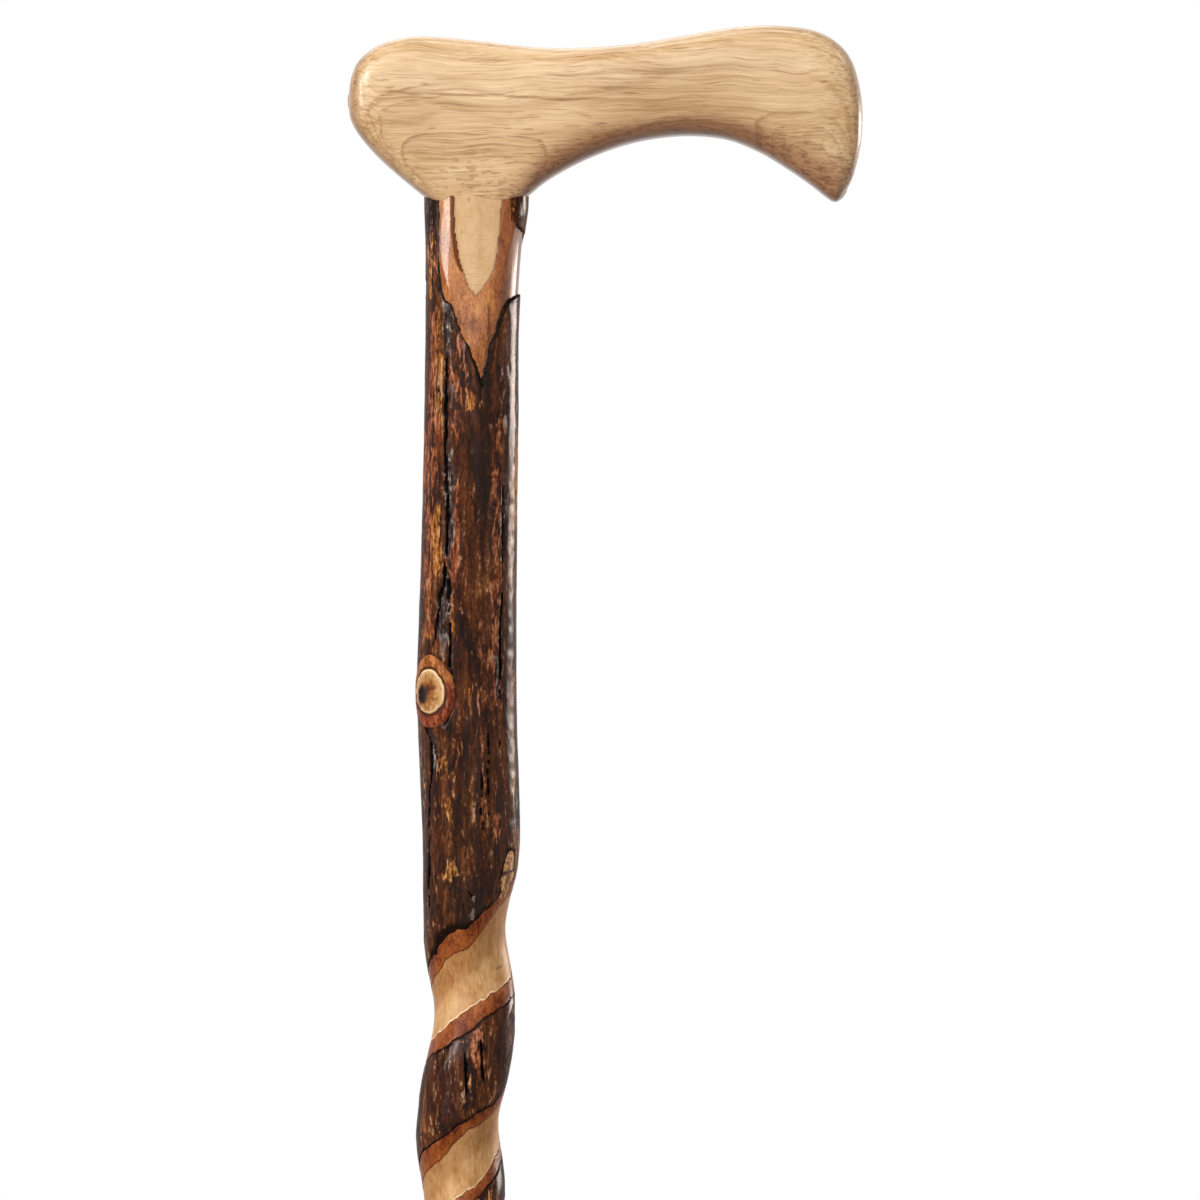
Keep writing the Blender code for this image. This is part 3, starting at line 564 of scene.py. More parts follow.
def wood_surface(form):
    surface = np.minimum(form.natural - form.layers[1], form.cut)
    disc = form.in_knot(KNOT_WOOD)
    surface = surface + ease(disc / (0.8 * MM) + 0.8) * (form.natural + KNOT_RISE - surface)
    aside, up = form.knot_aside - PITH_PLACE[0], form.knot_up - PITH_PLACE[1]
    from_pith, spoke = np.hypot(aside, up * 0.7), np.arctan2(up, aside)
    surface = surface - PITH_DEPTH * ease(1.3 - from_pith / (1.6 * MM)) * (disc > 0)
    tenon = np.minimum(TENON_RADIUS, TENON_RADIUS - TENON_CHAMFER + form.height - STICK_BOTTOM)
    marks = {
        "knot": np.clip(1 - disc / KNOT_WOOD[0], 0, 2),
        "pith": np.clip(1 - from_pith / (4.2 * MM), 0, 1),
        "lower": form.lower,
        "spoke_x": np.cos(spoke),
        "spoke_z": np.sin(spoke),
        "edge": np.clip(1 - form.bared(1) / MM, 0, 1),
    }
    return np.where(form.height < FERRULE_TOP + 0.05 * MM, tenon, surface), marks


# Meshes


def mesh_object(name, points, faces, marks=None, sharp=math.radians(60)):
    mesh = bpy.data.meshes.new(name)
    mesh.from_pydata(points, [], faces)
    for mark, values in (marks or {}).items():
        mesh.attributes.new(mark, "FLOAT", "POINT").data.foreach_set("value", np.asarray(values, np.float32))
    mesh.shade_smooth()
    mesh.set_sharp_from_angle(angle=sharp)
    return placed(bpy.data.objects.new(name, mesh))


def placed(obj):
    bpy.context.scene.collection.objects.link(obj)
    return obj


def ring_faces(start, count, next_start, next_count):
    """Faces between two rings of points that have equally many points, or one twice as many as the other."""
    if count == next_count:
        near = np.arange(count)
        far = np.roll(near, -1)
        return np.stack([start + near, start + far, next_start + far, next_start + near], 1).tolist()
    turned = count > next_count
    fine, coarse = (start, next_start) if turned else (next_start, start)
    total = min(count, next_count)
    faces = []
    for i in range(total):
        j = (i + 1) % total
        a, b, p, q, r = coarse + i, coarse + j, fine + 2 * i, fine + 2 * i + 1, fine + 2 * j
        faces += [face[::-1] if turned else face for face in ((a, q, p), (a, b, q), (b, r, q))]
    return faces


def loft(counts, start=0):
    """Faces between rings of points, one ring after another."""
    starts = np.cumsum([start, *counts])
    faces = []
    for ring in range(len(counts) - 1):
        faces += ring_faces(starts[ring], counts[ring], starts[ring + 1], counts[ring + 1])
    return faces


def end_faces(counts):
    """Faces over the first and over the last ring."""
    total = sum(counts)
    return [list(range(counts[0]))[::-1], list(range(total - counts[-1], total))]


def heights_between(low, high, extra=()):
    """Heights of the rings, close where the photograph looks and wider below."""
    coarse = np.linspace(low, FINE_FROM, math.ceil((FINE_FROM - low) / COARSE_STEP), endpoint=False)
    fine = np.linspace(FINE_FROM, high, math.ceil((high - FINE_FROM) / FINE_STEP) + 1)
    return np.unique(np.concatenate([coarse, fine, extra]))


def stick_piece(name, heights, surface, depths=None):
    """A piece of the stick, whose surface gives its radius. With its depths it is a sleeve of bark, whose
    inside is as thin as the bark at the lower end, and deep under the cuts above it."""
    outside_rings = len(heights)
    if depths:
        heights = np.concatenate([heights, np.linspace(heights[-1], heights[0], SLEEVE_INNER_RINGS)])
    counts = [FINE_SIDES if height >= FINE_FROM else FINE_SIDES // 2 for height in heights]
    angle = np.concatenate([np.arange(count) * math.tau / count for count in counts])
    form = StickForm(angle, np.repeat(heights, counts))
    radius, marks = surface(form)
    faces = loft(counts)
    if depths:
        inside = slice(sum(counts[:outside_rings]), None)
        rise = ease((form.height - BARK_BOTTOM) / SLEEVE_RISE)
        radius[inside] = (form.radius - depths[-1] - (SLEEVE_DEPTH - depths[-1]) * rise)[inside]
        faces += ring_faces(len(angle) - counts[-1], counts[-1], 0, counts[0])
    else:
        faces += end_faces(counts)
    points = np.stack([form.x + radius * np.cos(angle), form.y + radius * np.sin(angle), form.height], 1)
    return mesh_object(name, points.tolist(), faces, marks)


def handle_ring(section, scale, shift):
    """A rounded section between a top edge and a bottom edge of the handle, squarer below where it meets the
    stick."""
    top_x, top_z, bottom_x, bottom_z, half_thickness = section
    middle = np.array([top_x + bottom_x, 0, top_z + bottom_z]) / 2
    up = np.array([top_x - bottom_x, 0, top_z - bottom_z]) / 2
    along = np.array([up[2], 0, -up[0]]) / np.linalg.norm(up)
    squareness = (NECK_SQUARENESS - HANDLE_ROUNDNESS) * math.exp(-((bottom_x / NECK_REACH) ** 2))
    sine, cosine = np.sin(HANDLE_ANGLES), np.cos(HANDLE_ANGLES)
    power = 2 / (HANDLE_ROUNDNESS + squareness * (sine <= 0))
    rise, out = (np.sign(part) * np.abs(part) ** power * scale for part in (sine, cosine))
    return middle + np.outer(rise, up) + np.outer(out, [0, half_thickness, 0]) + along * shift + [0, 0, JOINT]


def underside(x):
    """How far each point of the handle's ring at x is on its underside, where shade is painted, from 0 to 1.
    """
    start, end, fade = UNDERSIDE_SPAN
    edge = np.interp(x / MM, *zip(*UNDERSIDE_FROM))
    low = ease((-np.sin(HANDLE_ANGLES) - edge) / (1 - edge) * 1.6)
    return low * ease((x - start) / fade) * ease((end - x) / fade)


def handle_rings():
    stations = [(i, *section) for i, section in enumerate(HANDLE_SECTIONS)]
    steps = np.arange((len(stations) - 1) * HANDLE_STEPS + 1) / HANDLE_STEPS
    sections = np.stack(smooth_curve(stations, steps), 1) * MM
    sizes = [math.cos(math.pi / 2 * i / HANDLE_CAP_RINGS) for i in range(HANDLE_CAP_RINGS, 0, -1)]
    cap = [(max(size, HANDLE_CAP_LEAST), HANDLE_CAP_RISE * math.sqrt(1 - size**2)) for size in sizes]
    rows = [(sections[0], size, -rise) for size, rise in cap]
    rows += [(section, 1, 0) for section in sections]
    rows += [(sections[-1], size, rise) for size, rise in cap[::-1]]
    return [handle_ring(*row) for row in rows], np.concatenate([underside(row[0][2]) for row in rows])


def build_handle():
    rings, under = handle_rings()
    counts = [HANDLE_SIDES] * len(rings)
    faces = loft(counts) + end_faces(counts)
    handle = mesh_object("cane_handle", np.concatenate(rings).tolist(), faces, {"under": under})
    build = bmesh.new()
    build.from_mesh(handle.data)
    bmesh.ops.recalc_face_normals(build, faces=build.faces)
    everything = build.verts[:] + build.edges[:] + build.faces[:]
    sawn = bmesh.ops.bisect_plane(
        build, geom=everything, plane_co=(0, 0, HANDLE_BOTTOM), plane_no=(0, 0, -1), clear_outer=True
    )
    rim = [item for item in sawn["geom_cut"] if isinstance(item, bmesh.types.BMEdge)]
    bmesh.ops.holes_fill(build, edges=rim, sides=0)
    build.to_mesh(handle.data)
    build.free()
    handle.data.shade_smooth()
    handle.data.set_sharp_from_angle(angle=HANDLE_SHARP)
    edge = handle.modifiers.new("sanded_edge", "BEVEL")
    edge.limit_method = "ANGLE"
    edge.angle_limit = HANDLE_SHARP
    edge.width = HANDLE_EDGE
    edge.segments = 3
    return handle


def arc(middle, radius, start, end, steps):
    """Points on an arc of a profile, from one direction to another in degrees."""
    angles = [math.radians(start + (end - start) * i / steps) for i in range(steps + 1)]
    return [(middle[0] + radius * math.cos(a), middle[1] + radius * math.sin(a)) for a in angles]


def ferrule_profile():
    """From the middle of the socket's floor up its wall, over the rim and down the outside to the tread."""
    wall = SOCKET_RADIUS + FERRULE_WALL
    profile = [(SOCKET_RADIUS, FERRULE_FLOOR)]
    profile += arc((SOCKET_RADIUS + RIM_RADIUS, FERRULE_TOP - RIM_RADIUS), RIM_RADIUS, 180, 90, 5)
    profile += arc((wall - RIM_RADIUS, FERRULE_TOP - RIM_RADIUS), RIM_RADIUS, 90, 0, 5)
    for rib in range(RIBS):
        middle = FERRULE_TOP - RIB_PITCH * (rib + 1) - RIB_HALF
        for i in range(-8, 9):
            sunk = RIB_DEPTH * (0.5 + 0.5 * math.cos(math.pi * i / 8)) ** RIB_SHARPNESS
            profile.append((wall - sunk, middle - i / 8 * RIB_HALF))
    for i in range(13):
        spread = (FERRULE_BASE_RADIUS - wall) * (1 - math.cos(i / 12 * math.pi / 2))
        profile.append((wall + spread, WAIST_HEIGHT - (WAIST_HEIGHT - BASE_HEIGHT) * i / 12))
    profile += arc((FERRULE_BASE_RADIUS - BASE_EDGE, BASE_EDGE), BASE_EDGE, 0, -90, 6)
    for inner, outer in TREAD_GROOVES:
        profile += [(outer, 0), (outer - TREAD_SLOPE, TREAD_DEPTH)]
        profile += [(inner + TREAD_SLOPE, TREAD_DEPTH), (inner, 0)]
    return profile


def build_ferrule():
    profile = ferrule_profile()
    angle = np.arange(FERRULE_SIDES) * math.tau / FERRULE_SIDES
    points = [(0, 0, FERRULE_FLOOR)]
    for radius, height in profile:
        points += [(radius * math.cos(a), radius * math.sin(a), height) for a in angle]
    points.append((0, 0, 0))
    faces = [face[::-1] for face in loft([FERRULE_SIDES] * len(profile), start=1)]
    last = len(points) - 1
    for i in range(FERRULE_SIDES):
        j = (i + 1) % FERRULE_SIDES
        faces += [(0, 1 + i, 1 + j), (last - FERRULE_SIDES + j, last - FERRULE_SIDES + i, last)]
    return mesh_object("cane_ferrule", points, faces, sharp=math.radians(40))


# Materials


def linear(colour):
    """A colour in 0 to 255 as the screen shows it, in the linear values that shaders use."""
    return tuple(((c / 255 + 0.055) / 1.055) ** 2.4 if c > 10 else c / 255 / 12.92 for c in colour)


class Value:
    """A node's output. Arithmetic with it adds nodes to its tree."""

    def __init__(self, shader, socket):
        self.shader, self.socket = shader, socket

    def apply(self, operation, *others):
        return self.shader.add("Math", dict(enumerate((self, *others))), operation=operation)

    __add__ = __radd__ = partialmethod(apply, "ADD")
    __sub__ = partialmethod(apply, "SUBTRACT")
    __mul__ = __rmul__ = partialmethod(apply, "MULTIPLY")
    __truediv__ = partialmethod(apply, "DIVIDE")
    __pow__ = partialmethod(apply, "POWER")
    __abs__ = partialmethod(apply, "ABSOLUTE")
    most = partialmethod(apply, "MAXIMUM")
    least = partialmethod(apply, "MINIMUM")

    def __rsub__(self, other):
        return self * -1 + other

    def spread(self, low, high, low_value=0, high_value=1, **settings):
        """Changed evenly from one range to another, and held at its ends."""
        ends = {"From Min": low, "From Max": high, "To Min": low_value, "To Max": high_value}
        return self.shader.add("MapRange", {"Value": self, **ends}, **settings)

    def step(self, start, end):
        """0 at the start, 1 at the end, whichever is the greater, and smooth between them."""
        return self.spread(start, end, interpolation_type="SMOOTHSTEP")

    def painted(self, *layers, blend="MIX"):
        """A colour under others, each given as (amount, colour)."""
        colour = self
        for amount, other in layers:
            colour = self.shader.mix(amount, colour, other, blend)
        return colour


class Shader:
    """The node tree of a material or a world, with short ways to add to it."""

    MIX_FIRST, MIX_SECOND, MIX_RESULT = 6, 7, 2

    def __init__(self, name, owners=bpy.data.materials):
        self.owner = owners.new(name)
        self.owner.use_nodes = True
        self.tree = self.owner.node_tree

    def add(self, kind, inputs=None, out=0, **settings):
        """A node's output, with each of its inputs set to a value or joined to another output."""
        made = self.tree.nodes.new("ShaderNode" + kind)
        for key, value in settings.items():
            setattr(made, key, value)
        for key, value in (inputs or {}).items():
            self.put(made.inputs[key], value)
        return Value(self, made.outputs[out])

    def put(self, socket, value):
        if isinstance(value, Value):
            self.tree.links.new(value.socket, socket)
        else:
            socket.default_value = (*linear(value), 1) if socket.type == "RGBA" else value

    def place(self):
        return self.add("TexCoord", out="Object")

    def vector(self, operation, first, second):
        return self.add("VectorMath", {0: first, 1: second}, operation=operation)

    def joined(self, *parts):
        return self.add("CombineXYZ", dict(enumerate(parts)))

    def parts(self, vector):
        return [self.add("SeparateXYZ", {0: vector}, axis) for axis in range(3)]

    def axes(self):
        """X, Y and the height over the joint, each in millimetres."""
        moved = self.vector("SUBTRACT", self.place(), (0, 0, JOINT))
        return self.parts(self.vector("MULTIPLY", moved, (1 / MM, 1 / MM, 1 / MM)))

    def noise(self, x, y, z, detail=2, roughness=0.5, distortion=0, place=None):
        """Noise from 0 to 1, with about that many lumps to the millimetre along each axis."""
        vector = self.vector("MULTIPLY", place or self.place(), (x / MM, y / MM, z / MM))
        inputs = {"Vector": vector, "Scale": 1, "Detail": detail}
        return self.add("TexNoise", {**inputs, "Roughness": roughness, "Distortion": distortion})

    def grain(self, across, along, **settings):
        """Noise with its lumps alike across the stick, and others along it."""
        return self.noise(across, across, along, **settings)

    def figure(self, x, z, place_x, place_z, half_x, half_z, power, narrowing, lean):
        """0 in the middle of a rounded figure, and 1 at its outline."""
        top = place_z + half_z
        width = (z * narrowing + (1 - narrowing * top)).most(0.3) * half_x
        across = (x + z * lean - (place_x + lean * top)) / width
        upward = (z - place_z) / half_z
        return (abs(across) ** power + abs(upward) ** power) ** (1 / power)

    def ramp(self, value, stops):
        """A colour that changes through stops of (position, colour)."""
        ramp = self.add("ValToRGB", {"Fac": value})
        elements = ramp.socket.node.color_ramp.elements
        while len(elements) < len(stops):
            elements.new(0.5)
        for element, (position, colour) in zip(elements, stops):
            element.position = position
            element.color = (*linear(colour), 1)
        return ramp

    def mix(self, amount, first, second, blend="MIX"):
        inputs = {0: amount, self.MIX_FIRST: first, self.MIX_SECOND: second}
        return self.add("Mix", inputs, self.MIX_RESULT, data_type="RGBA", blend_type=blend)

    def mark(self, name):
        """A value that the mesh carries at its points."""
        return self.add("Attribute", out="Fac", attribute_name=name)

    def seen(self):
        """1 for what the camera sees, also in a gloss or a glass, and 0 for what lights the surfaces."""
        rays = [self.add("LightPath", out=f"Is {kind} Ray") for kind in ("Camera", "Glossy", "Transmission")]
        return rays[0].most(rays[1]).most(rays[2])

    def bump(self, height, distance, strength):
        return self.add("Bump", {"Height": height, "Distance": distance, "Strength": strength})

    def finish(self, colour, roughness, normal=None, **inputs):
        """The material, with the inputs of its surface set."""
        inputs.update(Base_Color=colour, Roughness=roughness)
        if normal:
            inputs["Normal"] = normal
        for key, value in inputs.items():
            self.put(self.tree.nodes["Principled BSDF"].inputs[key.replace("_", " ")], value)
        return self.owner

    def varnished(self, colour, roughness, normal, coat, coat_roughness, gloss):
        """The material, with a clear coat over a surface of its own gloss."""
        coats = {"Coat_Weight": coat, "Coat_Roughness": coat_roughness, "Specular_IOR_Level": gloss}
        return self.finish(colour, roughness, normal, **coats)


def oak_figures(shader, x, z):
    """The lines of the figures in the oak's grain, how far inside a figure, and inside the last one."""
    strayed_x = x + shader.grain(0.09, 0.12) * 5 - 2.5
    strayed_z = z + shader.noise(0.05, 0.1, 0.1) * 3.6 - 1.8
    lines = inside = 0
    for place_x, place_z, half_x, half_z, power, rings, narrowing, lean in OAK_FIGURES:
        outline = (place_x, place_z, half_x, half_z, power, narrowing, lean)
        rise = shader.figure(strayed_x, strayed_z, *outline).spread(1, 1 - OAK_RING_REACH)
        ring = (rise * rings).apply("FRACT")
        band = OAK_LINE * rings / OAK_RING_REACH / half_x
        line = ring.step(2.4 * band, 0.6 * band).most(ring.step(6 * band, 0.8 * band) * 0.3)
        line = line * ring.step(0, 0.5 * band)
        if half_x > HEEL_FIGURE:
            line, rise = line * x.step(2, -16), rise * x.step(-12, -24)
        lines, inside = line.most(lines), rise.most(inside)
    return lines, inside, rise


def oak():
    """Pale oak: growth layers that lie along the handle's faces, streaks along it and short dark pores, and
    painted shade on its underside.
    """
    shader = Shader("oak_varnished")
    x, y, z = shader.axes()
    sway = shader.noise(0.05, 0.05, 0.07, detail=1)
    swayed = shader.vector("MULTIPLY", shader.joined(x, y, z + sway * 5), (MM, MM, MM))
    warp = shader.noise(0.014, 0.04, 0.05, detail=1.5)
    streaks = shader.noise(0.022, 0.9, 1.15, detail=4, roughness=0.66, place=swayed)
    fine = shader.noise(0.09, 2.2, 3, place=swayed)
    figures, rounded, burr = oak_figures(shader, x, z)
    figures = figures * fine.step(0.38, 0.6) * x.step(160, 64)
    burr = burr.step(0, 0.8) * fine.step(0.3, 0.6)
    ring = (y * 0.3 + z * 0.05 + warp * 1.5).apply("FRACT")
    line = ring.step(0, 0.06) * ring.step(0.26, 0.07) * fine.step(0.36, 0.6)
    patches = shader.noise(0.03, 0.1, 0.12, detail=1)
    warm = shader.noise(0.05, 0.16, 0.16)
    threads = shader.noise(0.045, 1.5, 2.1, detail=1, distortion=0.15, place=swayed)
    threads = threads.step(0.58, 0.68) * fine.step(0.34, 0.52)
    facing_x = abs(shader.parts(shader.add("TexCoord", out="Normal"))[0])
    # The underside: painted shade, and more pores
    under = shader.mark("under")
    dash_field = shader.noise(0.15, 2, 2.6, detail=0, place=swayed)
    dashes = (dash_field - (streaks * 0.1 - line * 0.07 + 0.68)).step(0, 0.06)
    dotted = rounded * 0.8 + facing_x.step(0.1, 0.45) * 0.7 + under
    dots = shader.noise(0.34, 1.1, 1.2, detail=1).step(0.55, 0.64) * dotted
    dashes = dashes.most(dots.least(1))
    wave = shader.noise(0.07, 0, 0, detail=1)
    long_line = abs(z + x * 0.034 + wave * 2.6 - (LONG_LINE_HEIGHT + 1.3)).step(0.55, 0.18)
    long_line = long_line * fine.step(0.26, 0.5) * x.step(-28, -22) * x.step(46, 26)
    tone = streaks * 1.4 + fine + patches * 0.8 - line * 0.3 - 1.08
    colour = shader.ramp(tone, OAK_TONES).painted(
        (figures * 0.8, (152, 104, 58)),
        (warm.step(0.52, 0.72) * 0.35, (216, 170, 126)),
        (threads * 0.5, (176, 130, 82)),
        (dashes * 0.6, (146, 98, 54)),
        (long_line * 0.85, (158, 110, 60)),
    )
    # Painted shade darkens the underside, which faces down, away from the light
    colour = colour.painted(
        (under * 0.74, (175, 131, 94)),
        (burr * 0.35, (200, 166, 128)),
        (x.step(4, 40) * x.step(92, 62), (244, 241, 238)),
        (facing_x.step(0.32, 0.8) * 0.8, (200, 180, 164)),
        blend="MULTIPLY",
    )
    normal = shader.bump(fine * 0.3 - dashes, 0.05 * MM, 0.6)
    return shader.varnished(colour, streaks * 0.12 + 0.3, normal, coat=0.58, coat_roughness=0.2, gloss=0.3)


def knot_face(shader, over_joint, knot, wobble):
    """The knot's end grain: rings and rays round its middle, and a light rim."""
    spokes = shader.joined(shader.mark("spoke_x"), shader.mark("spoke_z"), knot)
    rays = shader.noise(3.2 * MM, 3.2 * MM, 0.9 * MM, place=spokes)
    lower = (over_joint * -1 - KNOT_DOWN).step(-1.5, 5)
    face = shader.ramp(knot * 0.9 + wobble * 0.9 + rays * 0.65 - lower * 0.14 - 0.7, KNOT_TONES)
    return face.painted(((knot + wobble * 0.08).step(0.9, 0.95) * 0.9, (242, 208, 162)))


def stick_wood():
    """The stick's own pale wood, cut along its grain, and the end grain of its knot, with painted shade and
    highlight at the grooves.
    """
    shader = Shader("stick_wood_varnished")
    streaks = shader.grain(0.4, 0.06, detail=3)
    fine = shader.grain(1.6, 0.45, detail=3)
    patches = shader.grain(0.14, 0.12)
    wobble = shader.grain(0.9, 0.9, detail=3)
    x, y, over_joint = shader.axes()
    upper, low = over_joint.step(-80, -30), over_joint.step(-60, -110)
    grain = shader.grain(0.3, 2.6, detail=1).step(0.6, 0.7) * upper
    flecks = shader.grain(0.9, 0.5, detail=0).step(0.8, 0.86)
    fleck_x, fleck_z = x - FLECK[0], over_joint - FLECK[1]
    along, aside = abs(fleck_x * 0.82 + fleck_z * 0.57), abs(fleck_z * 0.82 - fleck_x * 0.57)
    fleck = (along * 0.9 + aside * 2.2 + fine * 0.8).step(1.9, 1.1) * y.apply("LESS_THAN", 0)
    knot, lower, edge = shader.mark("knot"), shader.mark("lower"), shader.mark("edge")
    lower_edge = lower * low
    # A thin line along the edges of the bared wood: dark painted shade, and a cream painted highlight along
    # each groove's lower edge, which faces up
    rim = (edge + fine * 0.5).step(0.75, 1.05) * (lower_edge * 0.25 + low * 0.15 + 0.35)
    pith = (shader.mark("pith") + wobble * 0.5 - 0.25).step(0.45, 0.66)
    colour = shader.ramp(streaks * 0.6 + fine * 1.1 + patches * 1.3 - 1, WOOD_TONES).painted(
        (upper * 0.55, (221, 187, 143)),
        (grain * 0.5, (176, 132, 84)),
        (flecks * 0.5, (132, 86, 50)),
        (fleck * 0.7, (128, 84, 48)),
    )
    # Darker lower down the stick, and painted shade on the upper half of each groove, which faces down
    colour = colour.painted(
        (low, (242, 233, 222)), ((low - lower_edge) * 0.8, (226, 214, 200)), blend="MULTIPLY"
    )
    # The rim is painted shade and painted highlight
    colour = colour.painted(
        (rim, shader.mix(lower_edge, (150, 100, 56), (255, 226, 180))),
        (knot.step(1.22, 1.14), (78, 38, 12)),
        (knot.step(1.01, 0.97), knot_face(shader, over_joint, knot, wobble)),
        (pith, (28, 8, 12)),
    )
    normal = shader.bump(fine * 0.6 + streaks * 0.6, 0.08 * MM, 0.6)
    coat = 0.18 - pith * 0.17
    return shader.varnished(colour, 0.48, normal, coat, coat_roughness=0.3, gloss=0.1)


def chip_colour(shader, glow):
    """The pale flakes of the chip, with dark cracks."""
    cracks = abs(shader.grain(0.55, 0.4, detail=1, distortion=0.8) - 0.5).step(0, 0.045)
    return shader.mix(cracks * 0.7 + 0.3, (96, 48, 12), shader.ramp(glow, CHIP_TONES))


def inner_bark():
    """The fibrous orange layer under the bark, redder and darker towards the outside, with painted shade
    beside the tongue at the neck and a painted shadow line along its left edge.
    """
    shader = Shader("inner_bark")
    streaks = shader.grain(0.8, 0.22, detail=3, distortion=0.4)
    fine = shader.grain(2.4, 1.1)
    patches = shader.grain(0.16, 0.1)
    x, _, over_joint = shader.axes()
    upper, low = over_joint.step(-80, -30), over_joint.step(-60, -110)
    inward, knot, edge = shader.mark("inward"), shader.mark("knot"), shader.mark("edge")
    # Painted shade on the inner bark to the right of the tongue, at the neck
    beside = x.step(3, 6.5) * over_joint.step(-34, -26)
    slit = abs(x + streaks * 0.6 - 3.9).step(0.55, 0.15)
    slit = slit * over_joint.step(-39.5, -37) * over_joint.step(-29, -31)
    glow = streaks * 1.2 + fine * 1.2 - 0.7
    chip = shader.mark("chip").step(0.2, 0.5)
    split = abs(over_joint - x * 0.35 + streaks + (CHIP[0] + 2.2)).step(0.62, 0.25) * chip
    over_knot = (over_joint + KNOT_DOWN + streaks * 5).step(2, 8)
    rust = shader.mix(over_knot, shader.ramp(glow, RUST_TONES), shader.ramp(glow, TOP_RUST_TONES))
    # A dark shadow line painted along the tongue's left edge
    painted_shadow_line = shader.mark("painted_shadow_line").step(0.25, 0.5)
    tone = streaks * 1.1 + fine * 1.1 + patches * 0.8 + inward * 0.3 + upper * 0.08 - 1.18
    colour = shader.ramp(tone, INNER_TONES).painted(
        (low, (212, 180, 160)), (upper * 0.7, (246, 232, 206)), (beside, (206, 186, 172)), blend="MULTIPLY"
    )
    colour = colour.painted(
        (slit * 0.8, (84, 40, 16)),
        (chip, chip_colour(shader, glow)),
        (split, (52, 20, 2)),
        (knot, rust),
        (edge.step(0.45, 0.95) * 0.85, (88, 40, 14)),
        ((edge * knot).step(0.52, 0.8) * 0.8, (56, 24, 8)),
        (painted_shadow_line * 0.95, (98, 44, 6)),
    )
    normal = shader.bump(streaks * 0.6 + fine, 0.16 * MM, 0.6)
    matt = knot.most(painted_shadow_line).most(low * 0.85).most(chip)
    coat = 0.5 - matt * 0.46
    return shader.varnished(colour, 0.42, normal, coat, coat_roughness=0.13, gloss=0.1)


def outer_bark():
    """Dark fissured bark with golden and red streaks, black in its cracks and where it is cut, with painted
    glints on dark patches and on a burl.
    """
    shader = Shader("outer_bark")
    broad = shader.grain(0.3, 0.06, distortion=0.3)
    streaks = shader.grain(0.78, 0.17, detail=3, roughness=0.62, distortion=0.9)
    fine = shader.grain(1.6, 0.9, roughness=0.6)
    columns = shader.grain(0.5, 0.035, distortion=0.5)
    specks = shader.grain(0.9, 0.7, detail=1)
    x, _, over_joint = shader.axes()
    rusty = columns.step(0.54, 0.66) * streaks.step(0.4, 0.62)
    glow = streaks * 2.2 + fine - 1.1
    ragged = streaks * 1.8 + fine * 0.55 - 1.175
    colour = shader.ramp(broad * 1.9 + streaks * 1.6 + fine - 1.78, OUTER_TONES).painted(
        (columns.step(0.46, 0.34) * 0.55, (48, 34, 34)), (rusty * 0.55, (122, 70, 30))
    )
    # Gold and red are the bark's own streaks; the third tint paints grey glints on dark bark
    for mark, tones, most in (("gold", GOLD_TONES, 1), ("red", RED_TONES, 0.9), ("dark_painted_glints", PAINTED_GLINT_TONES, 0.85)):
        amount = (shader.mark(mark) + ragged * 1.1).step(0.25, 0.7) * most
        colour = colour.painted((amount, shader.ramp(glow, tones)))
    shade = (shader.mark("dark") - ragged * 0.5).step(0.15, 0.8)
    fissure = shader.mark("fissure").step(0.12, 0.45)
    wear = (shader.mark("cut") + ragged * 0.25).step(0.85, 1.05)
    cut = wear.most(shader.mark("edge").step(0.3, 0.75))
    neck = over_joint.step(-28, -24) * x.step(3, 6)
    worn = (0.9 - neck * fine.step(0.38, 0.58)).most(0)
    # Painted glints on the burl, and the pale crack below them
    pale = (shader.mark("pale") + ragged * 0.7).step(0.3, 0.65) * specks.step(0.44, 0.54)
    colour = colour.painted(
        (shade * 0.7, (26, 14, 4)),
        (fissure, (4, 2, 1)),
        (cut * worn, (14, 6, 2)),
        (pale * 0.8, (134, 118, 108)),
    )
    normal = shader.bump(streaks * 0.8 + fine * 0.9, 0.3 * MM, 0.85)
    coat = 0.27 - fissure.most(cut * 0.75) * 0.23
    return shader.varnished(colour, fine * 0.2 + 0.45, normal, coat, coat_roughness=0.19, gloss=0)


def rubber():
    shader = Shader("black_rubber")
    dust = shader.grain(0.25, 0.25, detail=3)
    normal = shader.bump(shader.grain(6, 6), 0.03 * MM, 0.5)
    return shader.finish(shader.ramp(dust, RUBBER_TONES), dust * 0.2 + 0.52, normal)


def zinc_steel():
    shader = Shader("zinc_steel")
    brushed = shader.grain(0.5, 6)
    normal = shader.bump(brushed, 0.02 * MM, 0.4)
    return shader.finish(shader.ramp(brushed, ZINC_TONES), brushed * 0.16 + 0.26, normal, Metallic=1)


# Assembly and stage


def dress(piece, body, slot, material, *nodes):
    piece.data.materials.append(material)
    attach(piece, body)
    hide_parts(*nodes)


def build_pieces():
    bark = heights_between(BARK_BOTTOM, JOINT)
    shoulder = (STICK_BOTTOM + TENON_CHAMFER, FERRULE_TOP, FERRULE_TOP + 0.1 * MM)
    wood = heights_between(STICK_BOTTOM, JOINT, shoulder)
    outer = stick_piece("cane_outer_bark", bark, outer_bark_surface, OUTER_BARK_DEPTH)
    inner = stick_piece("cane_inner_bark", bark, inner_bark_surface, INNER_BARK_DEPTH)
    wood = stick_piece("cane_shaft_wood", wood, wood_surface)
    dress(outer, "stick", "outer_bark", outer_bark(), "outer_bark")
    dress(inner, "stick", "inner_bark", inner_bark(), "inner_bark")
    dress(wood, "stick", "stick_wood_varnished", stick_wood(), "shaft_wood")
    dress(build_handle(), "stick", "oak_varnished", oak(), "handle")
    dress(build_ferrule(), "ferrule", "black_rubber", rubber(), "ferrule")
    steel = zinc_steel()
    for name in ("handle_stud", "ferrule_washer"):
        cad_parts[name].data.materials.clear()
        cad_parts[name].data.materials.append(steel)


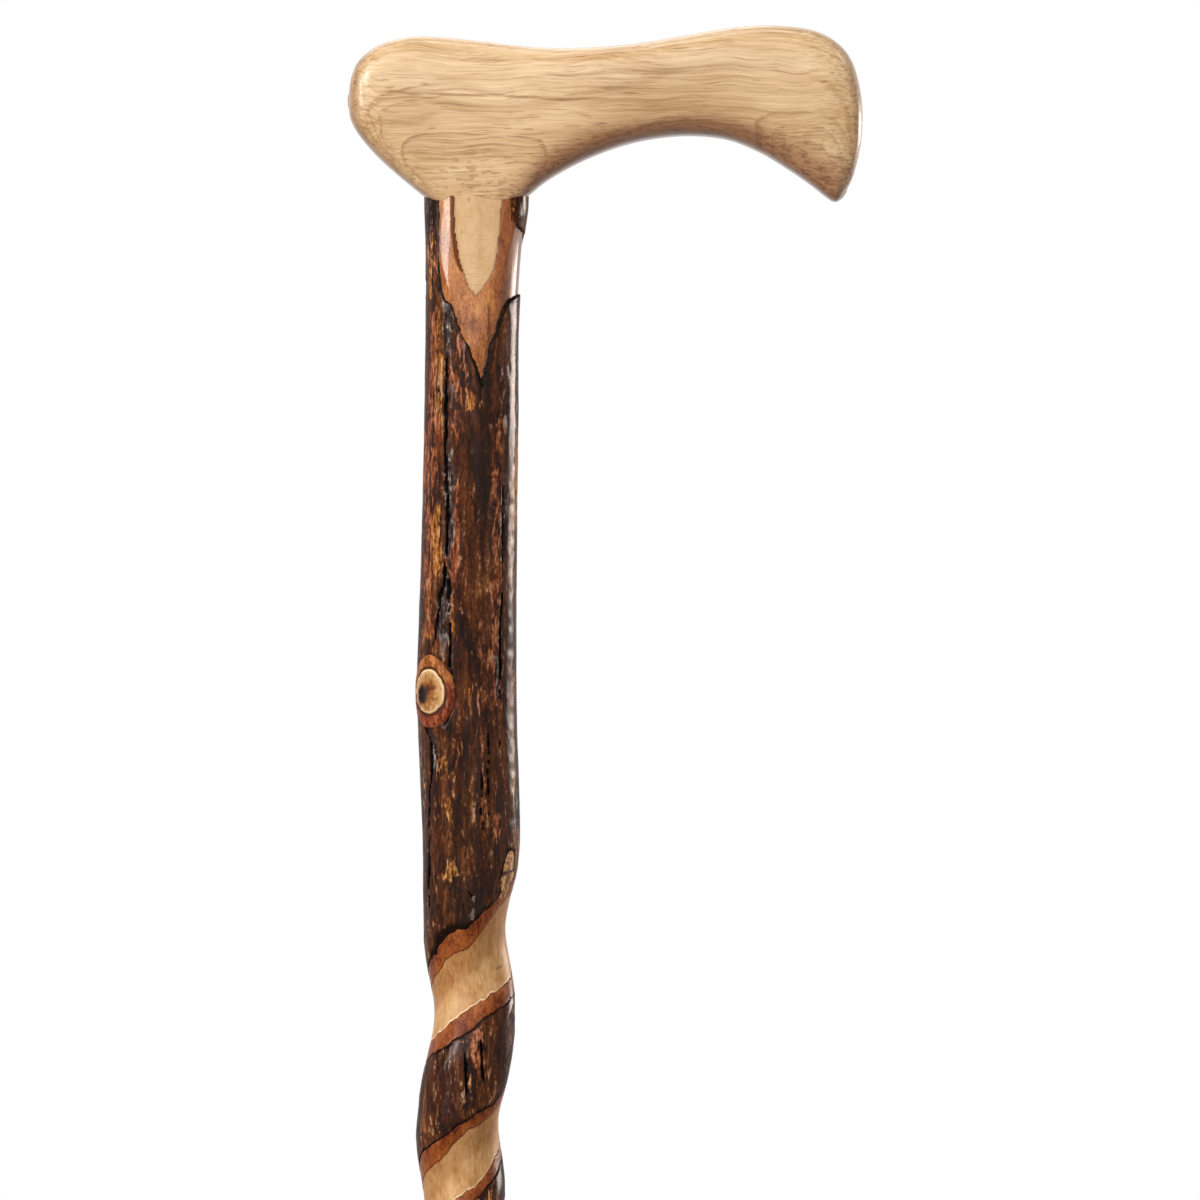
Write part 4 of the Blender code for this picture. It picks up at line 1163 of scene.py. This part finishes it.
def build_light(name, place, target, width, height, radiance, colour):
    """A softbox that the camera doesn't see, with its brightness given by area."""
    light = bpy.data.lights.new(name, "AREA")
    light.shape = "RECTANGLE"
    light.size = width
    light.size_y = height
    light.energy = radiance * math.pi * width * height
    light.color = linear(colour)
    obj = placed(bpy.data.objects.new(name, light))
    obj.location = place
    obj.rotation_euler = (Vector(target) - Vector(place)).to_track_quat("-Z", "Y").to_euler()
    obj.visible_camera = False


def build_world():
    """White for what sees the background, and a soft even light for the surfaces."""
    sky = Shader("studio", bpy.data.worlds)
    bpy.context.scene.world = sky.owner
    up = sky.parts(sky.add("TexCoord", out="Generated"))[2]
    background = sky.tree.nodes["Background"].inputs
    sky.put(background["Color"], WHITE)
    sky.put(background["Strength"], up.spread(-0.2, 1, *WORLD_SOFT).most(sky.seen()))


def build_floor():
    """A pale floor that keeps the cane's shadow and fades to the white background away from it."""
    mesh = bpy.data.meshes.new("floor")
    build = bmesh.new()
    bmesh.ops.create_circle(build, cap_ends=True, segments=96, radius=FLOOR_RADIUS)
    build.to_mesh(mesh)
    build.free()
    floor = placed(bpy.data.objects.new("floor", mesh))
    floor.location = (0, 0, -FLOOR_DROP)
    shader = Shader("floor")
    distance = shader.add("VectorMath", {0: shader.place()}, out="Value", operation="LENGTH")
    seen = shader.seen()
    shader.finish(shader.mix(seen, FLOOR_BOUNCE, FLOOR_PAINT), 0.8)
    nodes = shader.tree.nodes
    paint = Value(shader, nodes["Principled BSDF"].outputs[0])
    white = shader.add("Emission", {"Color": WHITE, "Strength": 1})
    faded = shader.add("MixShader", {0: distance.step(*FLOOR_FADE) * seen, 1: paint, 2: white})
    shader.put(nodes["Material Output"].inputs["Surface"], faded)
    mesh.materials.append(shader.owner)


def build_camera():
    camera = bpy.data.cameras.new("camera")
    camera.angle = 2 * math.atan(PHOTO_WIDTH / 2 / CAMERA_DISTANCE)
    camera.clip_start = 0.05
    camera.clip_end = 60
    obj = placed(bpy.data.objects.new("camera", camera))
    obj.location = (PHOTO_MIDDLE[0], -CAMERA_DISTANCE, PHOTO_MIDDLE[1])
    obj.rotation_euler = (math.radians(90), 0, 0)
    bpy.context.scene.camera = obj


build_pieces()
build_world()
build_floor()
build_camera()
for softbox in SOFTBOXES:
    build_light(*softbox)
bpy.context.scene.view_settings.view_transform = "Standard"
